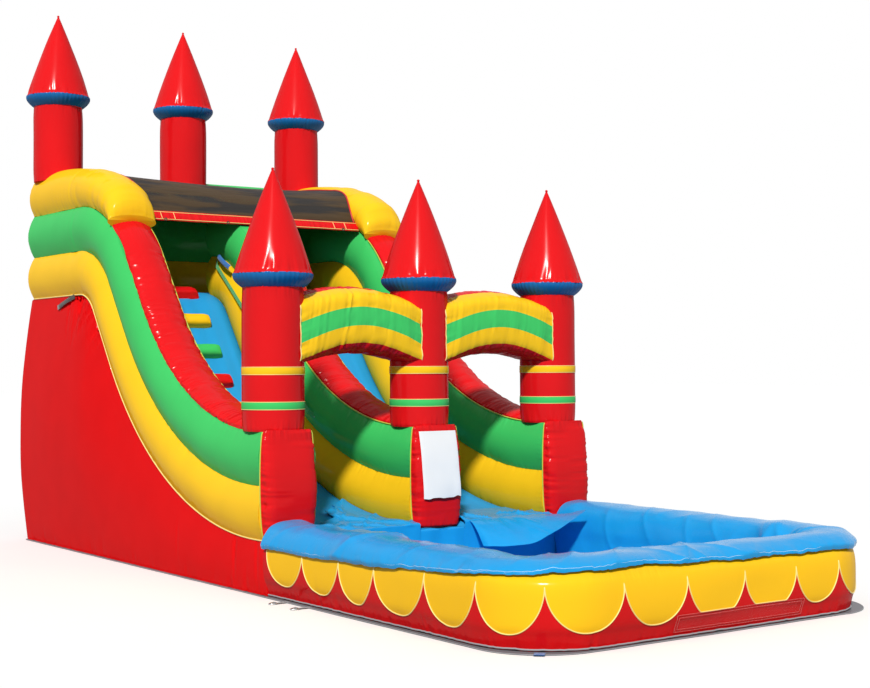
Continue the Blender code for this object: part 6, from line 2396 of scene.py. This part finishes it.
    def flap(self) -> None:
        """Build the loose flap at the foot of the slide."""
        low, high = LANE_X - LANE_HALF + 0.085, LANE_X + LANE_HALF - 0.085
        lift = BED_THICK + 0.0055
        across = np.linspace(0, 1, 90)
        x = low + (high - low) * across
        edge_y = RUN.foot_y - 0.008
        rows = [RUN.place(at, lift, x) for at in evenly(0.62, 0.0, 0.012)]
        rows.append(grid_of(x, edge_y, RUN.foot_z + lift))
        for share in np.linspace(0.02, 1.0, 44):
            hang = 0.21 + 0.31 * across**0.4
            drop = 0.21 * (1 - 1.4 * across**2.2) * share**1.5
            fold = 0.012 * np.sin(9 * across + 1.0) * share
            rows.append(grid_of(x, edge_y - hang * share, RUN.foot_z + lift - drop + fold))
        points = np.stack(rows)
        along = running(points, 0)[:, None]
        loose = smooth_step((along - 0.35) / 0.3)
        relief = 0.007 * cloth_noise(across * 7 + along, along / 0.35, 481) * loose
        relief += 0.005 * np.abs(cloth_noise(across * 13 - 2 * along, along / 0.25, 482)) * loose
        edge = np.minimum(np.minimum(across, 1 - across) * (high - low), along[-1] - along)
        piece = Piece("splash_flap_cloth").skin(
            pushed(points, relief, False, (0, 0, 1)), ring=False, facing=(0, 0, 1), side_gap=edge
        )
        made = piece.finish(self.finishes.liner_blue, thick=0.004)
        settle(made, "splash_flap", Body.FLAP)
        declare_sheet(made, high - low, "laid", "slide_bed", "pool_liner", length=1.16)

    def build(self) -> None:
        """Build the whole pool."""
        self.wall()
        self.liner()
        self.flap()


class Ground(Assembly):
    """The ground sheet, its webbing loops and the steel rings in them."""

    def outline(self) -> Array:
        """Return the ground sheet's edge, anticlockwise."""
        half = GROUND_HALF_WIDTH + SHEET_MARGIN
        front, rear = POOL_FRONT_Y + 0.05 - SHEET_MARGIN, GROUND_REAR_Y + SHEET_MARGIN
        points = []
        for side, y, radius, start in (
            (1, front + 0.50, 0.50, -90),
            (1, rear - 0.10, 0.10, 0),
            (-1, rear - 0.10, 0.10, 90),
            (-1, front + 0.50, 0.50, 180),
        ):
            turn = np.radians(np.linspace(start, start + 90, 16))
            x = side * (half - radius)
            points.append(grid_of(x + radius * np.cos(turn), y + radius * np.sin(turn)))
        corners = np.concatenate([*points, points[0][:1]])
        run = lengths(corners)
        even = np.arange(0, run[-1], 0.025)
        edge = np.stack([np.interp(even, run, corners[:, k]) for k in (0, 1)], -1)
        away = edge - edge.mean(axis=0)
        away /= np.linalg.norm(away, axis=1, keepdims=True)
        return edge + away * (0.006 * cloth_noise(even / 0.22, 0.5, 501))[:, None]

    def sheet(self) -> None:
        """Build the ground sheet with its bound edge."""
        edge = self.outline()
        middle = edge.mean(axis=0)
        shares = np.array([0.02, 0.3, 0.6, 0.8, 0.9, 0.96, 0.985, 1.0])
        flat = middle + (edge - middle) * shares[:, None, None]
        wavy = 0.5 + 0.5 * cloth_noise(np.arange(len(edge)) / 6.0, 0.5, 503)
        height = 0.0035 * smooth_step((shares - 0.95) / 0.05)[:, None] * wavy
        points = grid_of(flat[..., 0], flat[..., 1], height)
        piece = Piece("ground_sheet_cloth").skin(
            points, ends=(True, False), facing=(0, 0, 1), side_gap=(1 - shares)[:, None] * 2
        )
        made = settle(
            piece.finish(self.finishes.sheet, thick=SHEET_THICK), "ground_sheet"
        )
        length = GROUND_REAR_Y + SHEET_MARGIN - (POOL_FRONT_Y + 0.015) + 0.02
        declare_sheet(made, 2 * GROUND_HALF_WIDTH + 0.09, "laid", length=length)
        path = np.concatenate([edge, height[-1][:, None] + 0.003], axis=1)
        self.trims.note(Trim.SHEET_EDGE, path, 0.003, closed=True)

    def anchors(self) -> None:
        """Build each webbing loop and the D ring in it."""
        reach = SHEET_MARGIN + 0.095
        side_x, rear_y = GROUND_HALF_WIDTH + reach, GROUND_REAR_Y + reach
        places = []
        for label, y in (("front", -0.68), ("pool", -1.00)):
            places.append((f"left_{label}", (-side_x, y), math.pi))
            places.append((f"right_{label}", (side_x, y), 0.0))
        places += [
            ("rear_left", (-1.25, rear_y), math.pi / 2), ("rear_right", (1.25, rear_y), math.pi / 2)
        ]
        turn = np.radians(np.linspace(150, -150, 40))
        wrap = 0.0062
        tail = np.array([(-0.125, -0.0034), (-0.03, -0.0030), (-0.012, 0.0010)])
        back = np.array([(-0.010, -0.0058), (-0.03, -0.0060)])
        line = np.concatenate(
            [tail, np.stack([wrap * np.cos(turn), wrap * np.sin(turn)], -1), back]
        )
        wide = np.linspace(-0.020, 0.020, 9)
        sewn = [(-0.105, -0.014), (-0.105, 0.014), (-0.055, 0.014), (-0.055, -0.014)]
        loops = Piece("anchor_loops")
        for name, (x, y), heading in places:
            cosine, sine = math.cos(heading), math.sin(heading)
            spin = np.array([[cosine, -sine], [sine, cosine]])
            flat = grid_of(line[:, None, 0], wide[None, :]) @ spin.T
            level = flat + np.array([x, y])
            points = grid_of(level[..., 0], level[..., 1], line[:, None, 1] + BAR_Z)
            loops.skin(points, ring=False, facing=(0, 0, 1))
            self.ring(name, np.array([x, y]), spin)
            box = np.array(sewn) @ spin.T + np.array([x, y])
            corners = np.concatenate([box, np.full((4, 1), 0.0075)], axis=1)
            self.trims.note(Trim.STITCHES, corners, 0.0008, closed=True)
        settle(loops.finish(self.finishes.grey_web, thick=0.0022))

    def ring(self, name: str, place: Array, spin: Array) -> None:
        """Build one D ring, drooping from its bar so that its bow lies on the ground."""
        turn = np.linspace(0, math.pi, 40)
        bow = np.stack([RING_REACH * np.sin(turn), RING_HALF * np.cos(turn)], -1)
        bar = grid_of(0.0, np.linspace(-RING_HALF, RING_HALF, 16)[1:-1])
        out, side = np.concatenate([bow, bar]).T
        droop = math.asin((BAR_Z - WIRE_RADIUS) / RING_REACH)
        x, y = (np.stack([out * math.cos(droop), side], -1) @ spin.T + place).T
        path = np.stack([x, y, BAR_Z - out * math.sin(droop)], -1)
        rod = swept(path, WIRE_RADIUS, 14, closed=True)
        piece = Piece(f"anchor_ring_{name}_steel").skin(rod, ends=(False, False))
        made = piece.finish(self.finishes.steel)
        settle(made, f"anchor_ring_{name}", Body(f"ring_{name}"))

    def build(self) -> None:
        """Build the sheet and the anchors."""
        self.sheet()
        self.anchors()


# The sign's foot, its top and the half of its width
SIGN_Z = (0.69, 1.25)
SIGN_HALF = 0.19


class Sign(Assembly):
    """The bare white sheet on the middle post's front."""

    def build(self) -> None:
        """Build the sheet, loose at its lower edge."""
        z = evenly(*SIGN_Z, 0.009)
        x = np.linspace(-0.195, 0.185, 50)
        front = post_front(z[:, None], x)
        loose = smooth_step((0.95 - z) / 0.26)[:, None]
        y = (
            front - 0.010 - 0.020 * loose
            + 0.008 * cloth_noise(x / 0.10, z[:, None] / 0.30, 601) * (0.3 + loose)
        )
        ragged = 0.014 * cloth_noise(x / 0.05, 0.5, 603) * loose**3
        points = grid_of(x, y, z[:, None] + ragged)
        edge = np.minimum(np.abs(np.abs(x) - SIGN_HALF), from_ends(z)[:, None])
        piece = Piece("rules_sign_blank").skin(points, ring=False, facing=(0, -1, 0), side_gap=edge)
        made = settle(piece.finish(self.finishes.white, thick=0.0015))
        declare_sheet(made, 0.38, "hung", "front_middle_column", length=0.585)


@dataclass(frozen=True)
class Studio:
    """The pale room, its light and the photograph's camera.

    Attributes:
        photo_width: The photograph's width in pixels.
        photo_middle: Its middle row.
        level_row: The row at which the camera looks level.
        focal_pixels: Its focal length in pixels.
        sensor_mm: The width of the sensor that stands for it.
        eye: Where it stands.
        yaw: How far it is turned to the right.
        pitch: How far it looks up.
        roll: How far it leans.
        sky_light: Strength of the even light.
        key: Strength of the high lamp.
        key_heading: Which way the lamp shines.
    """

    photo_width: int = 870
    photo_middle: float = 344
    level_row: float = 339.6
    focal_pixels: float = 1532.2
    sensor_mm: float = 36
    eye: Point = (-7.669, -10.856, 1.807)
    yaw: float = math.radians(35.84)
    pitch: float = math.radians(0.97)
    roll: float = math.radians(-0.25)
    sky_light: float = 0.42
    key: float = 3.8
    key_heading: Point = (0.526, 0.587, -0.616)

    def camera(self) -> None:
        """Set the camera where the photograph was taken from."""
        data = bpy.data.cameras.new("photograph")
        data.sensor_width, data.clip_end = self.sensor_mm, 300
        data.lens = self.focal_pixels / self.photo_width * self.sensor_mm
        data.shift_y = (self.level_row - self.photo_middle) / self.photo_width
        made = bpy.data.objects.new("photograph", data)
        upright = Matrix.Rotation(math.pi / 2 + self.pitch, 3, "X")
        turn = Matrix.Rotation(-self.yaw, 3, "Z") @ upright @ Matrix.Rotation(self.roll, 3, "Z")
        made.matrix_world = Matrix.Translation(self.eye) @ turn.to_4x4()
        bpy.context.scene.collection.objects.link(made)
        bpy.context.scene.camera = made

    def sun(self) -> None:
        """Light the slide with one high lamp from the left front, soft at its shadows' edges."""
        data = bpy.data.lights.new("key light", "SUN")
        data.energy, data.angle, data.color = self.key, math.radians(5), to_linear("#FFFCF6")[:3]
        made = bpy.data.objects.new("key light", data)
        made.rotation_mode = "QUATERNION"
        made.rotation_quaternion = Vector(self.key_heading).to_track_quat("-Z", "Y")
        bpy.context.scene.collection.objects.link(made)

    def floor(self) -> None:
        """Lay the plain white floor."""
        mesh = bpy.data.meshes.new("studio_floor")
        corners = [(90 * x, 90 * y, -MM) for x, y in ((-1, -1), (1, -1), (1, 1), (-1, 1))]
        mesh.from_pydata(corners, [], [(0, 1, 2, 3)])
        made = bpy.data.objects.new("studio_floor", mesh)
        finish, tree, shader = new_material("White studio floor")
        # A matt white ground keeps the slide's shadow and nothing else
        room = add_node(tree, "ShaderNodeTexCoord").outputs["Object"]
        grain = add_node(tree, "ShaderNodeTexNoise", {"Vector": room, "Scale": 0.7, "Detail": 1.0})
        tones = {0: grain, 6: to_linear("#FAFAFA"), 7: to_linear("#FCFCFC")}
        tint = add_node(tree, "ShaderNodeMix", tones, data_type="RGBA").outputs[2]
        # It throws back less light than it shows, as the grass under such a slide does
        rays = add_node(tree, "ShaderNodeLightPath").outputs
        shares = {0: rays["Is Diffuse Ray"], 6: tint, 7: to_linear("#A0A0A0")}
        thrown = add_node(tree, "ShaderNodeMix", shares, data_type="RGBA").outputs[2]
        wire(shader, {"Base Color": thrown, "Roughness": 0.9, "Specular IOR Level": 0.0})
        mesh.materials.append(finish)
        bpy.context.scene.collection.objects.link(made)

    def sky(self) -> None:
        """Light the room evenly, with a white backdrop for the camera."""
        world = bpy.data.worlds.new("white room")
        bpy.context.scene.world = world
        world.use_nodes = True
        tree = world.node_tree
        rays = add_node(tree, "ShaderNodeLightPath").outputs
        seen = sum_of(
            tree, rays["Is Camera Ray"], rays["Is Glossy Ray"], rays["Is Transmission Ray"]
        )
        sky = {"Color": to_linear("#DCE6F2"), "Strength": self.sky_light}
        fill = add_node(tree, "ShaderNodeBackground", sky)
        white = add_node(tree, "ShaderNodeBackground", {"Color": (1, 1, 1, 1), "Strength": 1.0})
        mixed = add_node(tree, "ShaderNodeMixShader", {0: seen, 1: fill, 2: white})
        wire(tree.nodes["World Output"], {"Surface": mixed})

    def build(self) -> None:
        """Build the studio."""
        self.camera()
        self.floor()
        self.sky()
        self.sun()
        bpy.context.scene.view_settings.view_transform = "Standard"


def main() -> None:
    """Build the slide and its studio."""
    logging.basicConfig(level=logging.INFO, format="%(name)s %(message)s")
    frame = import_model()
    log.info("frame with %d CAD nodes", len(frame["nodes"]))
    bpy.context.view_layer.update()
    looks = Finishes()
    trims = TrimBook(looks)
    for kind in (Ground, Hull, Lanes, Walls):
        kind(looks, trims).build()
    for number, (name, side) in enumerate((("left", -1), ("middle", 0), ("right", 1))):
        x = side * WALL_SPACING
        seed = 700 + 40 * number
        Turret(f"front_{name}", x, 0.0, FRONT_COLUMN_Z, FRONT_EAVE_Z, seed).build(looks, trims)
        rear = Turret(f"rear_{name}", x, REAR_WALL_Y, REAR_COLUMN_Z, REAR_EAVE_Z, seed + 200)
        rear.build(looks, trims)
    Arch("left_arch", -LANE_X, 1100).build(looks, trims)
    Arch("right_arch", LANE_X, 1110).build(looks, trims)
    for kind in (Roof, Pool, Sign):
        kind(looks, trims).build()
    trims.lay()
    Studio().build()


if __name__ == "__main__":
    main()
